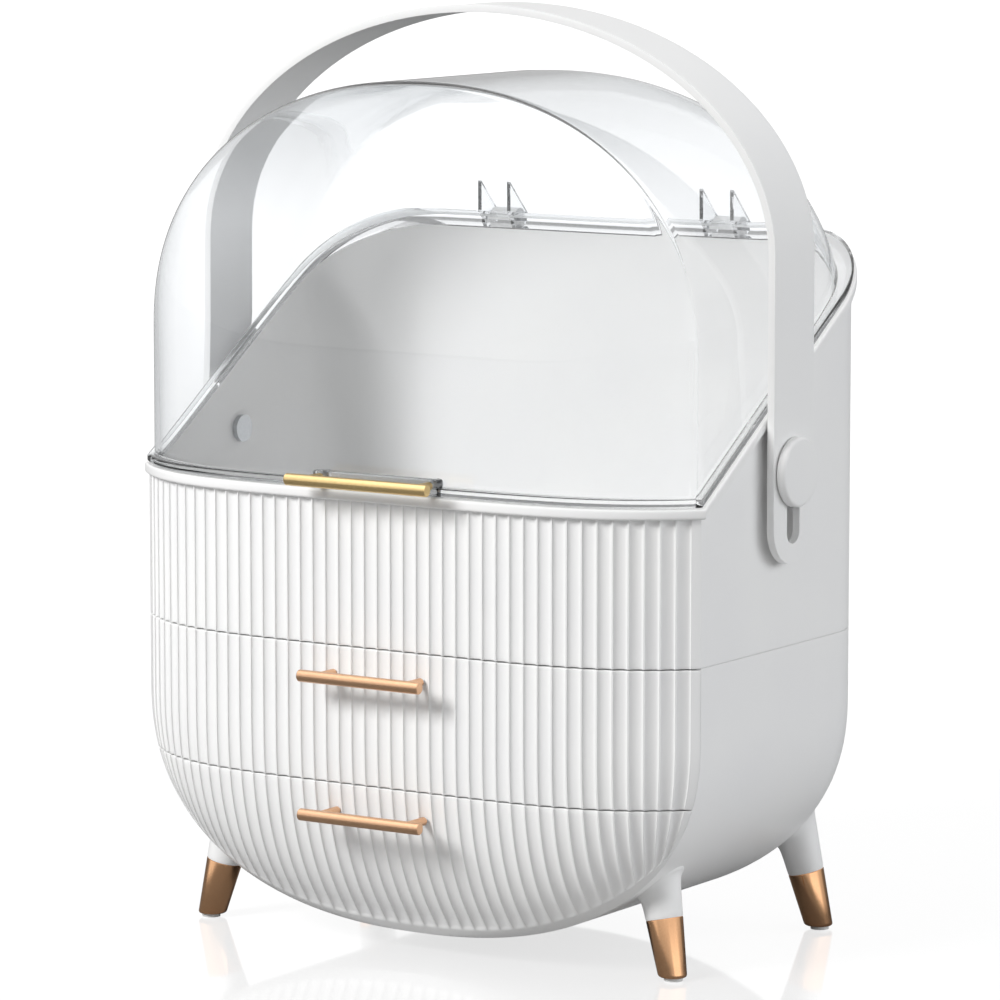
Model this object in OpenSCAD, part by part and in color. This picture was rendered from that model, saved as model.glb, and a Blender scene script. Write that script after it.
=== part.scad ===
// Dustproof makeup organizer: an open tub over two drawers, under a clear hinged
// lid, with a carrying strap that drops over the sides. Millimetres, +Z up.
// The origin is on the floor, under the middle of the whole part.

/* [Body] */
// Width from side wall to side wall
body_w = 280; // [260:1:300]
// Depth of the side walls, from the front corners to the back
side_d = 152; // [140:1:165]
// How far the front bows out past its corners
bow = 30; // [24:1:34]
// Squareness of the bow, as a superellipse exponent
bow_n = 4.9; // [3.5:0.1:6]
// Gap between the belly and the floor
belly_gap = 9; // [7:0.5:12]
// Height of the rounded belly
belly_h = 96; // [90:1:102]
// Squareness of the belly's outline, as a superellipse exponent
belly_n = 2.3; // [2.1:0.1:2.8]
// How soon the bow draws in over the belly
belly_fade = 3; // [2.4:0.1:4]
// Radius of the rounded back edges
back_r = 39; // [32:1:44]
// Thickness of the moulded walls
wall = 2.5; // [2:0.1:3]

/* [Tub] */
// Height of the tub's front, from its floor's underside to the rim's top
tub_h = 66.2; // [55:0.1:80]
// How far the rim climbs from the front corners to the back
rim_rise = 99; // [80:1:110]
// How far the rolled rim stands out from the walls
rim_out = 2.4; // [1.6:0.1:2.5]
// Thickness of the rolled rim
rim_t = 4.4; // [3:0.1:6]
// Depth of the lip that locates the tub in the lower casing
lip_h = 4; // [3:0.5:5]

/* [Flutes] */
// Number of flutes across the front
flute_count = 44; // [30:1:48]
// Smooth margin between the front's edge and its first ridge, along the bow
flute_margin = 3.8; // [3:0.1:6]
// Depth of a flute
flute_d = 1.6; // [0.8:0.1:1.6]
// Height over which the flutes fade out at the bottom
flute_fade = 14; // [8:1:20]

/* [Drawers] */
// Height of the lower drawer's front, from the bottom of the belly to the seam
lower_front_h = 67; // [60:1:72]
// Height of the upper drawer's front, from seam to seam
upper_front_h = 59.2; // [50:0.1:70]
// Gap at each seam around the fronts
seam = 0.8; // [0.5:0.1:1.2]
// Thickness of a front's moulded skin
front_t = 3; // [2.5:0.1:4]
// Width of the flat edge round the back of a front, inside its screws
front_land = 4; // [3:0.5:5]
// Depth of a drawer tray
tray_d = 118; // [100:1:122]
// Thickness of a tray's walls
tray_t = 2; // [1.5:0.1:2.5]
// Gap between a tray and the casing beside it
tray_side = 3; // [2.4:0.1:4]
// Gap between a tray and what it slides on
tray_run = 0.3; // [0.2:0.05:0.4]
// Height of the lower tray's floor above the bottom of the belly
tray_lift = 11; // [9:0.5:14]
// Thickness of the shelf between the drawers
shelf_t = 2.5; // [2:0.1:3]
// Height of the guide ribs on the shelf
guide_h = 8; // [5:1:12]
// Distance of the lower drawer's runners from the middle
runner_x = 35; // [25:1:42]

/* [Lid] */
// Height of the lid above the rim's top
lid_rise = 169.6; // [150:0.1:180]
// Height of the lid's arch, above its straight sides
lid_arch = 109; // [95:1:120]
// Squareness of the lid's arch, as a superellipse exponent
arch_n = 2.15; // [2:0.05:2.4]
// How far the lid's walls stand in from the body's sides
lid_inset = 2.5; // [2:0.1:3]
// Thickness of the lid's clear walls
lid_t = 2; // [1.5:0.1:2.5]
// Thickness of the lid's flange
flange_t = 3.6; // [2.5:0.1:4]
// How far the flange's edge stays inside the rim's edge
flange_in = 1.4; // [1.2:0.1:1.8]
// Gap between the lid's flange and the rim
flange_gap = 0.3; // [0.2:0.05:0.4]

/* [Hinges] */
// Distance of a hinge's middle from the middle of the back
hinge_x = 57; // [45:1:65]
// Width over a hinge's two clear ears
hinge_w = 18; // [15:0.5:24]
// Distance of the hinge axis behind the back
hinge_out = 8; // [7.5:0.5:11]
// Height of the hinge axis above the rim's top at the back
hinge_up = 2; // [1:0.5:4]
// Radius of a hinge's knuckle
knuckle_r = 4; // [3.4:0.1:4.4]
// Radius of a hinge pin
hinge_pin_r = 1.5; // [1.2:0.1:1.8]
// Thickness of a clear hinge ear
ear_t = 2.5; // [2:0.1:3]
// Height of an ear up the lid's back
ear_h = 18; // [14:1:24]

/* [Strap handle] */
// Width of the strap
strap_w = 32.6; // [26:0.1:38]
// Thickness of the strap
strap_t = 3.3; // [2.8:0.1:4]
// Gap between the body's side and the strap
strap_gap = 3.1; // [3.1:0.1:4]
// Height of the pivot above the tub's underside
pivot_up = 75.1; // [68:0.1:80]
// Distance of the pivot behind the front corners
pivot_back = 64; // [58:1:72]
// Height of the strap's top above the pivot
strap_h = 191.2; // [188:0.1:205]
// Height of the strap's arch, above its straight arms
strap_arch = 101.5; // [92:0.5:106]
// Squareness of the strap's arch, as a superellipse exponent
strap_n = 2; // [2:0.05:2.3]
// Length of the strap below the pivot
strap_tail = 39; // [37:1:44]
// How far the strap can be lifted on its slots
lift = 25; // [15:1:26]
// Width of a slot
slot_w = 10.5; // [9:0.1:12]
// Radius of the pivot pins
pivot_r = 3; // [2.5:0.1:3.5]
// Radius of the round buttons
button_r = 14.8; // [12:0.1:16]
// How far a button stands out from the strap
button_t = 3.9; // [3:0.1:5]

/* [Pulls] */
// Diameter of the pull bars
bar_d = 5.2; // [4.4:0.1:6]
// Length of a drawer's pull bar
drawer_bar = 61; // [54:1:90]
// Length of the lid's pull bar
lid_bar = 71; // [64:1:90]
// Distance of a drawer's bar in front of the bow
drawer_bar_out = 13; // [11:0.5:14]
// Distance of the lid's bar in front of the bow
lid_bar_out = 14.5; // [14.1:0.1:18]
// Height of the lid's bar above the middle of its flange
lid_bar_up = 2.6; // [0:0.1:3]
// Height of the clear pad behind the lid's bar
pad_h = 6.8; // [6:0.1:8]
// Distance of a drawer's bar below the seam above it
bar_drop = 12; // [10:1:16]
// Radius of the posts that carry the bars
post_r = 1.8; // [1.7:0.1:2.5]
// Distance of a post from the middle
post_x = 22; // [18:1:25]
// Radius of the pulls' screws
screw_r = 1.2; // [1:0.1:1.3]

/* [Legs] */
// Distance of a foot's middle in from the body's side
foot_in = 21.1; // [18:0.1:24]
// Distance of a foot's middle in from the front corners or the back
foot_end = 14.5; // [12:0.5:18]
// Lean of the legs, outwards to the sides
splay_x = 13; // [8:1:16]
// Lean of the legs, forwards or backwards
splay_y = 5; // [0:1:8]
// Height of a metal tip
tip_h = 26; // [20:1:29]
// Radius of a metal tip at its top
tip_r = 7.85; // [7:0.05:9]
// Radius of a metal tip at its bottom
tip_end_r = 5.9; // [5:0.1:6.5]
// Radius of a leg where it meets the belly
leg_r = 9.4; // [8.5:0.1:11]
// Radius of a foot pad
pad_r = 4; // [3:0.1:4.5]
// Thickness of a foot pad
pad_t = 1.5; // [1:0.1:2]

/* [Hidden] */

$fn = 48;
far = 400;            // longer than any cut needs
fit = 0.05;           // radial clearance of a pin in its hole
bury = 0.1;           // overlap that fuses two forms of one piece
over = 1;             // how far a cut runs past a face
tip_gap = 0.2;        // room left at the end of a screw's hole
head_share = 2;       // a screw's head radius, as a share of its shank's
clear = 0.3;          // gap between faces that move past each other
half = body_w / 2;

// Heights, from the floor up
belly_top = belly_gap + belly_h;
lower_top = belly_gap + lower_front_h;
deck_z = lower_top + upper_front_h;
rim_z = deck_z + tub_h;
shelf_z = lower_top - shelf_t;

// Depths: the part's box runs from the lid's bar to the hinges, and its middle is y = 0
front_most = bow + lid_bar_out + bar_d / 2;
rear_most = side_d + hinge_out + knuckle_r;
corner_y = (front_most - rear_most) / 2;
back_y = corner_y + side_d;
casing_y = corner_y + clear;

function clamp(v, low, high) = min(max(v, low), high);
function signed_pow(v, p) = sign(v) * pow(abs(v), p);
// A superellipse's other half axis, as a share: 1 at q = 0 and 0 at q = 1
function squircle(q, n) = pow(1 - pow(clamp(abs(q), 0, 1), n), 1 / n);

// Half the body's width at height z
function half_w(z) = half * squircle((belly_top - z) / belly_h, belly_n);

// A point at angle a on a superellipse of half axes w and h, moved inwards by inset
function oval(a, w, h, n, inset) =
  let (c = cos(a), s = sin(a),
       nx = signed_pow(c, 2 - 2 / n) / w,
       nz = signed_pow(s, 2 - 2 / n) / h,
       l = norm([nx, nz]))
  [w * signed_pow(c, 2 / n) - inset * nx / l, h * signed_pow(s, 2 / n) - inset * nz / l];

// The body's outline seen from the front, cut off level at the height top
belly_steps = 36;
function belly_outline(inset, top) = concat(
  [[half - inset, top]],
  [for (i = [0:belly_steps]) let (p = oval(180 * i / belly_steps, half, belly_h, belly_n, inset))
    [p.x, belly_top - p.y]],
  [[inset - half, top]]);

// The body's outline seen from above: a bowed front, straight sides and round back corners
plan_steps = 12;
function bow_y(x, w, depth) = corner_y - depth * (1 - pow(clamp(abs(x) / w, 0, 1), bow_n));
function plan_back(inset) = [for (i = [0:2 * plan_steps + 1])
  let (side = i <= plan_steps ? 1 : -1,
       a = 90 * (i <= plan_steps ? i : i - 1) / plan_steps,
       r = back_r - inset)
  [side * (half - back_r) + r * cos(a), back_y - back_r + r * sin(a)]];
bow_steps = 24;       // points along half of a smooth bow
function plan_smooth(inset, depth) = concat(
  [for (i = [-bow_steps:bow_steps]) let (w = half - inset, x = w * sin(90 * i / bow_steps))
    [x, bow_y(x, w, depth)]],
  plan_back(inset));

// Length along the bow from its middle to the share q of its half width, and the way back
run_steps = 40;
function bow_run(q) =
  let (p = [for (k = [0:run_steps]) let (x = half * q * k / run_steps) [x, bow_y(x, half, bow)]])
  [for (k = [1:run_steps]) norm(p[k] - p[k - 1])] * [for (k = [1:run_steps]) 1];
bow_table = [for (i = [0:run_steps]) let (q = sin(90 * i / run_steps)) [bow_run(q), q]];
function bow_share(run) = sign(run) * lookup(abs(run), bow_table);

// The flutes: each has a crest, a slope, a hollow and a slope, at these shares of the pitch.
// The columns are where they lie, as shares of the half width.
flute_marks = [0.1, 0.35, 0.65, 0.9];
flute_depths = [0, 1, 1, 0];
flute_run = bow_run(1) - flute_margin;
columns = concat([-1],
  [for (i = [0:flute_count - 1], m = flute_marks)
    bow_share((2 * (i + m) / flute_count - 1) * flute_run)], [1]);
function column_depth(i) = i == 0 || i == len(columns) - 1 ? 0
  : flute_d * flute_depths[(i - 1) % len(flute_marks)];
plan_fluted = concat(
  [for (i = [0:len(columns) - 1]) let (x = half * columns[i])
    [x, bow_y(x, half, bow) + column_depth(i)]],
  plan_back(0));

// Extrudes a side view, drawn as [y, z], across the body
module across(w) {
  rotate([90, 0, 90]) linear_extrude(w, center = true) children();
}

// Extrudes a front view, drawn as [x, z], from y = from to y = to
module along(from, to) {
  translate([0, to, 0]) rotate([90, 0, 0]) linear_extrude(to - from) children();
}

// The line of the rim's top, seen from the side, raised by up
slope = rim_rise / side_d;
function rim_at(y) = rim_z + slope * max(0, y - corner_y);
function rim_line(up) = [[-far, rim_z + up], [corner_y, rim_z + up], [far, rim_at(far) + up]];
module above_rim(up) {
  across(far * 2) polygon(concat(rim_line(up), [[far, far * 3], [-far, far * 3]]));
}
module rim_band(low, high) {
  across(far * 2) polygon(concat(rim_line(low), [for (i = [2:-1:0]) rim_line(high)[i]]));
}

// Joins rings of points into one closed solid. Each ring runs clockwise seen from the front,
// and the rings follow each other to the back.
module loft(rings) {
  n = len(rings[0]);
  last = (len(rings) - 1) * n;
  sides = [for (j = [0:len(rings) - 2], k = [0:n - 1])
    let (a = j * n + k, b = j * n + (k + 1) % n)
    each [[a, a + n, b + n], [a, b + n, b]]];
  polyhedron(
    points = [for (ring = rings) each ring],
    faces = concat([[for (k = [0:n - 1]) k]], sides, [[for (k = [n - 1:-1:0]) last + k]]));
}

// Places and insets of the rings that round off the back, for walls moved inwards by inset
round_steps = 7;
function back_rings(inset) =
  let (r = back_r - inset)
  [for (i = [0:round_steps]) let (b = 90 * i / round_steps)
    [back_y - back_r + r * sin(b), inset + r * (1 - cos(b))]];

// The space inside the lower casing's outer face, moved inwards by inset
module casing_space(inset, front, top) {
  places = concat([[front, inset]], back_rings(inset));
  loft([for (p = places) [for (q = belly_outline(p[1], top)) [q.x, p[0], q.y]]]);
}

screw_tab_x = 88;     // distance of the outer screw tabs from the middle
screw_tab_w = 14;
screw_tab_h = 16;
screw_tab_t = 6;
screw_xs = [-screw_tab_x, 0, screw_tab_x];
screw_z = deck_z - screw_tab_h / 2;
pivot_y = corner_y + pivot_back;
pivot_z = deck_z + pivot_up;
boss_r = 11;          // radius of the boss behind each strap arm
strap_x = half + strap_gap;

// A cylinder along X, from x = from to x = to
module rod_x(r, from, to) {
  translate([from, 0, 0]) rotate([0, 90, 0]) cylinder(r = r, h = to - from);
}

// A cylinder along Y, from y = from to y = to
module rod_y(r, from, to) {
  translate([0, to, 0]) rotate([90, 0, 0]) cylinder(r = r, h = to - from);
}

module upper_casing() color("#f1f1f0") {
  difference() {
    union() {
      difference() {
        translate([0, 0, deck_z]) linear_extrude(tub_h + rim_rise) polygon(plan_fluted);
        above_rim(0);
      }
      intersection() {
        translate([0, 0, deck_z]) linear_extrude(tub_h + rim_rise)
          polygon(plan_smooth(-rim_out, bow + rim_out));
        rim_band(-rim_t, 0);
      }
      for (s = [0, 1]) translate([0, pivot_y, pivot_z]) mirror([s, 0, 0])
        rod_x(boss_r, half - wall / 2, strap_x - clear);
      lip();
      for (x = screw_xs) screw_tab(x);
    }
    translate([0, 0, deck_z + wall]) linear_extrude(far)
      polygon(plan_smooth(wall, bow - wall - flute_d / 2));
    for (s = [-1, 1]) translate([s * half, pivot_y, pivot_z])
      rod_x(pivot_r + fit, -wall * 2, wall * 2);
    for (x = screw_xs) translate([x, 0, screw_z])
      rod_y(screw_r, back_y - wall - screw_tab_t - over, back_y);
  }
}

// The lip under the tub's floor that stands just inside the lower casing
module lip() {
  gap = wall + clear / 2;
  translate([0, 0, deck_z - lip_h]) linear_extrude(lip_h + wall / 2) difference() {
    intersection() {
      polygon(plan_smooth(gap, bow));
      translate([-half, corner_y + wall * 3]) square([body_w, side_d]);
    }
    polygon(plan_smooth(gap + tray_t, bow));
  }
}

// A tab at the back of the tub's floor, which a casing screw bites into
module screw_tab(x) {
  translate([x - screw_tab_w / 2, back_y - wall - clear / 2 - screw_tab_t, deck_z - screw_tab_h])
    cube([screw_tab_w, screw_tab_t, screw_tab_h + wall / 2]);
}

module lower_casing() color("#f1f1f0") difference() {
  casing_space(0, casing_y, deck_z);
  casing_space(wall, casing_y - over, deck_z + over);
  for (x = screw_xs) translate([x, 0, screw_z]) rod_y(screw_r + fit, back_y - wall * 2, far);
}

// Screws that hold the tub down, through the back of the lower casing
module casing_screws() color("#c4c6c8") for (x = screw_xs) translate([x, back_y, screw_z]) {
  rod_y(screw_r, -wall - screw_tab_t, bury);
  rod_y(screw_r * head_share, 0, screw_r);
}

// What slides past the drawer fronts' back plates starts this far behind the corners
inner_y = corner_y + wall + clear * 2;
shelf_back = back_y - back_r;

upper_tray_w = half_w(lower_top) - wall - tray_side;
module drawer_shelf() color("#e9e9e8") {
  along(inner_y, shelf_back) belly_slice(wall, shelf_z, lower_top);
  for (s = [-1, 1]) translate([s * (upper_tray_w + tray_run + tray_t / 2), 0, 0])
    along(inner_y, shelf_back) translate([-tray_t / 2, shelf_z + shelf_t / 2])
      square([tray_t, guide_h + shelf_t / 2]);
}

// Two rails moulded to the belly, which the lower drawer slides on
runner_w = 8;
lower_tray_z = belly_gap + tray_lift;
module drawer_runners() color("#e9e9e8") along(inner_y, shelf_back) intersection() {
  polygon(belly_outline(wall, deck_z));
  for (s = [-1, 1]) translate([s * runner_x - runner_w / 2, belly_gap])
    square([runner_w, tray_lift - tray_run]);
}

// Leg, tip and pad at side sx (-1 left, 1 right) and end sy (-1 front, 1 rear)
foot_x = half - foot_in;
foot_rear_y = back_y - foot_end;
foot_front_y = corner_y + foot_end;
leg_len = belly_h * 0.625;        // reaches into the belly on every side
leg_flare = leg_r * 1.2;          // radius of a leg's cone at that length
spigot_r = 3.6;
spigot_h = 12;
module at_foot(sx, sy) {
  translate([sx * foot_x, sy < 0 ? foot_front_y : foot_rear_y, 0])
    rotate([sy * splay_y, -sx * splay_x, 0]) children();
}

module leg(sx, sy) color("#eeeeed") difference() {
  at_foot(sx, sy) {
    translate([0, 0, tip_h]) cylinder(r1 = tip_r, r2 = leg_flare, h = leg_len - tip_h);
    translate([0, 0, tip_h - spigot_h]) cylinder(r = spigot_r, h = spigot_h + over);
  }
  casing_space(0, casing_y, deck_z);
  along(corner_y - far, casing_y) polygon(belly_outline(0, deck_z));
}

module tip(sx, sy) color("#c68e6c") difference() {
  at_foot(sx, sy) difference() {
    translate([0, 0, -pad_t]) cylinder(r1 = tip_end_r, r2 = tip_r, h = tip_h + pad_t);
    translate([0, 0, tip_h - spigot_h - clear]) cylinder(r = spigot_r + fit, h = spigot_h + over);
  }
  translate([-far, -far, -far + pad_t]) cube([far * 2, far * 2, far]);
}

module pad(sx, sy) color("#dcdcda")
  translate([sx * foot_x, sy < 0 ? foot_front_y : foot_rear_y, 0]) cylinder(r = pad_r, h = pad_t);

// Hinges: a white knuckle on the back between two clear ears of the lid
hinge_y = back_y + hinge_out;
hinge_z = rim_at(back_y) + hinge_up;
knuckle_w = hinge_w - 2 * ear_t - 2 * clear;
bracket_t = 2;
bracket_h = 16;
arm_low = [0.9, -0.6];            // where its arm meets the knuckle, in knuckle radii
arm_high = [0.6, 0];
// The bracket's arm leaves this much room behind the rolled rim
rim_back = back_y + rim_out + clear;
module hinge_bracket(s) color("#f1f1f0") translate([s * hinge_x, 0, 0]) difference() {
  top = rim_at(back_y) - rim_t - slope * rim_out - 2 * clear;
  union() {
    across(knuckle_w) polygon([
      [back_y, top], [back_y, top - bracket_h], [back_y + bracket_t, top - bracket_h],
      [hinge_y, hinge_z] + knuckle_r * arm_low, [hinge_y, hinge_z] + knuckle_r * arm_high,
      [rim_back, hinge_z], [rim_back, top]]);
    translate([0, hinge_y, hinge_z]) rod_x(knuckle_r, -knuckle_w / 2, knuckle_w / 2);
  }
  translate([0, hinge_y, hinge_z]) rod_x(hinge_pin_r + fit, -hinge_w, hinge_w);
}

hinge_head_t = 1;
hinge_head_r = hinge_pin_r + 0.8;
module hinge_pin(s) color("#c4c6c8") translate([s * hinge_x, hinge_y, hinge_z]) {
  end = hinge_w / 2 + tip_gap + hinge_head_t;
  rod_x(hinge_pin_r, -end, end);
  for (e = [-1, 1]) translate([e * (end - hinge_head_t / 2), 0, 0])
    rod_x(hinge_head_r, -hinge_head_t / 2, hinge_head_t / 2);
}

pin_head_t = 2.5;
button_socket = 2;
button_edge = 1.4;
strap_out = strap_x + strap_t;
button_x = strap_out + clear;
module pivot_pin(s) color("#c4c6c8") translate([0, pivot_y, pivot_z]) mirror([s < 0 ? 1 : 0, 0, 0]) {
  rod_x(pivot_r, half - wall - bury, button_x + button_socket);
  rod_x(pivot_r * head_share, half - wall - pin_head_t, half - wall);
}

module button(s) color("#f1f1f0") translate([0, pivot_y, pivot_z]) mirror([s < 0 ? 1 : 0, 0, 0])
  difference() {
    translate([button_x, 0, 0]) rotate([0, 90, 0]) rotate_extrude() {
      square([button_r, button_t - button_edge]);
      square([button_r - button_edge, button_t]);
      translate([button_r - button_edge, button_t - button_edge]) intersection() {
        circle(button_edge);
        square(button_edge);
      }
    }
    rod_x(pivot_r + fit, button_x - over, button_x + button_socket + tip_gap);
  }

// The bush that turns on a pivot pin and slides in the strap's slot
module slot_bush(s) color("#e9e9e8") translate([0, pivot_y, pivot_z])
  mirror([s < 0 ? 1 : 0, 0, 0]) difference() {
    rod_x(slot_w / 2 - fit * 2, strap_x - clear + fit, button_x - fit);
    rod_x(pivot_r + fit, strap_x - over, button_x + over);
  }

strap_steps = 48;
arch_z = pivot_z + strap_h - strap_arch;
function strap_arc(inset) = [for (i = [0:strap_steps])
  let (p = oval(180 * i / strap_steps, strap_out, strap_arch, strap_n, inset)) [p.x, arch_z + p.y]];
module carry_strap() color("#f3f3f2") {
  along(pivot_y - strap_w / 2, pivot_y + strap_w / 2)
    polygon(concat(strap_arc(0), [for (i = [strap_steps:-1:0]) strap_arc(strap_t)[i]]));
  tail_z = pivot_z - strap_tail + strap_w / 2;
  for (s = [-1, 1]) translate([s * (strap_x + strap_t / 2), 0, 0]) across(strap_t) difference() {
    union() {
      translate([pivot_y - strap_w / 2, tail_z]) square([strap_w, arch_z - tail_z]);
      translate([pivot_y, tail_z]) circle(d = strap_w);
    }
    for (z = [pivot_z, pivot_z - lift]) translate([pivot_y, z]) circle(d = slot_w);
    translate([pivot_y - slot_w / 2, pivot_z - lift]) square([slot_w, lift]);
  }
}

// The lid's shell. A skin is its outer face, or that face moved inwards by inset. A ring is
// its outline at one depth, from the bottom left over the arch to the bottom right.
lid_arch_z = rim_z + lid_rise - lid_arch;
lid_w = half - lid_inset;
lid_steps = 36;       // points on the arch, less one
lid_last = lid_steps + 2;
lid_foot = 6;         // least height from a ring's bottom to the point above it
shell_up = 1.2;       // how far the shell's bottom is buried in the flange
function lid_bottom(y) = rim_at(y) + flange_gap + shell_up;
function lid_side(z, inset) =
  (lid_w - inset) * squircle(max(0, z - lid_arch_z) / (lid_arch - inset), arch_n);
function lid_ring(y, inset) =
  let (z = lid_bottom(y), x = lid_side(z, inset), h = lid_arch - inset,
       rise = max(0, z + lid_foot - lid_arch_z),
       a = asin(pow(rise / h, arch_n / 2)))
  concat([[-x, y, z]],
    [for (i = [0:lid_steps]) let (b = 180 - a - (180 - 2 * a) * i / lid_steps)
      [(lid_w - inset) * signed_pow(cos(b), 2 / arch_n), y,
       lid_arch_z + h * pow(abs(sin(b)), 2 / arch_n)]],
    [[x, y, z]]);
function lid_front(x, z, inset) =
  let (q = clamp((z - rim_z) / (lid_rise - inset), 0, 1),
       t = clamp(abs(x) / lid_side(z, inset), 0, 1))
  corner_y + inset - (bow - lid_inset) * (1 - pow(t, bow_n)) * (1 - pow(q, belly_fade));

// A skin's points: its rings from the front corners to the back, then the bowed front's
// columns, which hang from the points of the first ring's arch
side_places = [0, 0.4, 0.75, 0.9];
front_rows = 6;
function lid_rings(inset) =
  let (front_y = corner_y + inset, back = back_rings(inset))
  concat([for (f = side_places) [front_y + f * (back[0][0] - lid_inset - front_y), inset]],
    [for (p = back) [p[0] - lid_inset, p[1]]]);
function lid_skin(inset) =
  let (rings = [for (p = lid_rings(inset)) lid_ring(p[0], p[1])], low = lid_bottom(corner_y))
  concat([for (ring = rings) each ring],
    [for (i = [2:lid_last - 2], j = [1:front_rows])
      let (p = rings[0][i], z = p.z + (low - p.z) * j / front_rows)
      [p.x, lid_front(p.x, z, inset), z]]);

ring_size = lid_last + 1;
ring_count = len(side_places) + round_steps + 1;
skin_size = ring_count * ring_size + (lid_last - 3) * front_rows;
// The place of a front column's point among a skin's points
function front_at(i, j) = j == 0 ? i : ring_count * ring_size + (i - 2) * front_rows + j - 1;
skin_faces = concat(
  [for (r = [0:ring_count - 2], i = [0:lid_last - 1]) let (a = r * ring_size + i, b = a + ring_size)
    each [[a, b, b + 1], [a, b + 1, a + 1]]],
  [[for (i = [lid_last:-1:0]) (ring_count - 1) * ring_size + i]],
  [for (i = [2:lid_last - 3], j = [0:front_rows - 1])
    each [[front_at(i, j), front_at(i + 1, j + 1), front_at(i, j + 1)],
          [front_at(i, j), front_at(i + 1, j), front_at(i + 1, j + 1)]]],
  [[0, 1, 2], [lid_last, lid_last - 2, lid_last - 1]],
  [for (j = [0:front_rows - 1])
    each [[0, front_at(2, j), front_at(2, j + 1)],
          [lid_last, front_at(lid_last - 2, j + 1), front_at(lid_last - 2, j)]]]);
skin_edge = concat([for (r = [ring_count - 1:-1:0]) r * ring_size],
  [for (i = [2:lid_last - 2]) front_at(i, front_rows)],
  [for (r = [0:ring_count - 1]) r * ring_size + lid_last]);
module lid_shell() {
  n = len(skin_edge);
  polyhedron(
    points = concat(lid_skin(0), lid_skin(lid_t)),
    faces = concat(skin_faces,
      [for (f = skin_faces) [for (k = [len(f) - 1:-1:0]) f[k] + skin_size]],
      [for (k = [0:n - 1]) let (a = skin_edge[k], b = skin_edge[(k + 1) % n])
        each [[a, b, b + skin_size], [a, b + skin_size, a + skin_size]]]));
}

flange_step = 0.4;    // how far the flange reaches inside the shell
module lid_flange() difference() {
  intersection() {
    translate([0, 0, rim_z - over]) linear_extrude(rim_rise * 2)
      polygon(plan_smooth(flange_in - rim_out, bow + rim_out - flange_in));
    rim_band(flange_gap, flange_gap + flange_t);
  }
  inside = lid_skin(lid_t + flange_step);
  translate([0, 0, rim_z - over]) linear_extrude(rim_rise * 3)
    polygon([for (k = skin_edge) [inside[k].x, inside[k].y]]);
}

module clear_lid() color([0.92, 0.95, 0.97, 0.35]) difference() {
  union() {
    lid_shell();
    lid_flange();
    for (s = [-1, 1], e = [-1, 1]) translate([s * hinge_x + e * (hinge_w - ear_t) / 2, 0, 0])
      hinge_ear();
    translate([-pad_w / 2, lid_edge_y, pad_z]) cube([pad_w, pad_depth, pad_h]);
  }
  for (s = [-1, 1]) translate([s * hinge_x, hinge_y, hinge_z])
    rod_x(hinge_pin_r + fit, -hinge_w, hinge_w);
  for (s = [-1, 1]) translate([s * lid_post_x, 0, lid_bar_z])
    rod_y(screw_r + fit, corner_y - bow - rim_out, corner_y - bow + lid_t * 4);
}

// A thin clear web from the lid's back wall down to the hinge pin
ear_top = [0.6, 0.7];             // where its sloping edge meets the knuckle, in knuckle radii
module hinge_ear() {
  wall_y = back_y - lid_inset - lid_t / 2;
  foot_z = rim_at(back_y) + flange_gap;
  across(ear_t) polygon([
    [wall_y, foot_z + ear_h], [wall_y, foot_z], [hinge_y - knuckle_r, foot_z],
    [hinge_y, hinge_z - knuckle_r / 2], [hinge_y, hinge_z] + knuckle_r * ear_top]);
  translate([0, hinge_y, hinge_z]) rod_x(knuckle_r, -ear_t / 2, ear_t / 2);
}

// Pulls: a round bar on two posts, each held by a screw from inside
module pull_bar(w, y, z) translate([0, y, z]) rod_x(bar_d / 2, -w / 2, w / 2);
post_bite = 5;        // how deep a screw goes into its post
head_t = 1.6;
module pull_posts(x, r, bar_y, foot_y, z) for (s = [-1, 1])
  translate([s * x, 0, z]) difference() {
    rod_y(r, bar_y, foot_y);
    translate([0, bar_y, 0]) rod_x(bar_d / 2, -far, far);
    rod_y(screw_r + fit, foot_y - post_bite, foot_y + over);
  }
module pull_screws(x, foot_y, seat_y, z) color("#c4c6c8") for (s = [-1, 1])
  translate([s * x, 0, z]) {
    rod_y(screw_r, foot_y - post_bite + tip_gap, seat_y + bury);
    rod_y(screw_r * head_share, seat_y, seat_y + head_t);
  }

lid_post_x = lid_bar / 2 - 8;
lid_bar_z = rim_z + flange_gap + flange_t / 2 + lid_bar_up;
lid_bar_y = corner_y - bow - lid_bar_out;
// The pad's front face, just before the flange's edge, and the lid's inner face at the posts
lid_edge_y = corner_y - bow - rim_out + flange_in - clear;
pad_w = lid_bar - 8;
pad_z = rim_z + flange_gap * 2;
pad_depth = corner_y - bow + lid_inset + lid_t / 2 - lid_edge_y;
lid_inner_y = corner_y - bow + lid_inset + lid_t + flange_step + fit;
module lid_pull_bar() color("#d9ad5b") pull_bar(lid_bar, lid_bar_y, lid_bar_z);
module lid_pull_posts() color("#d9ad5b")
  pull_posts(lid_post_x, flange_t / 2, lid_bar_y, lid_edge_y, lid_bar_z);
module lid_pull_screws() pull_screws(lid_post_x, lid_edge_y, lid_inner_y, lid_bar_z);

// A drawer front's face: the bow, drawn in over the belly
function belly_draw(z) = 1 - pow(clamp((belly_top - z) / belly_h, 0, 1), belly_fade);
function front_y(x, z, depth) = corner_y - depth * belly_draw(z)
  * (1 - pow(clamp(abs(x) / max(half_w(z), 0.01), 0, 1), bow_n));

// Column u of the face, from -1 at the left edge to 1 at the right edge, stands upright in
// the middle and follows the belly's outline at the sides
curl_n = 8;
function curl(u) = pow(abs(u), curl_n);
function column_x(u, z) = u * half * pow(half_w(z) / half, curl(u));
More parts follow.
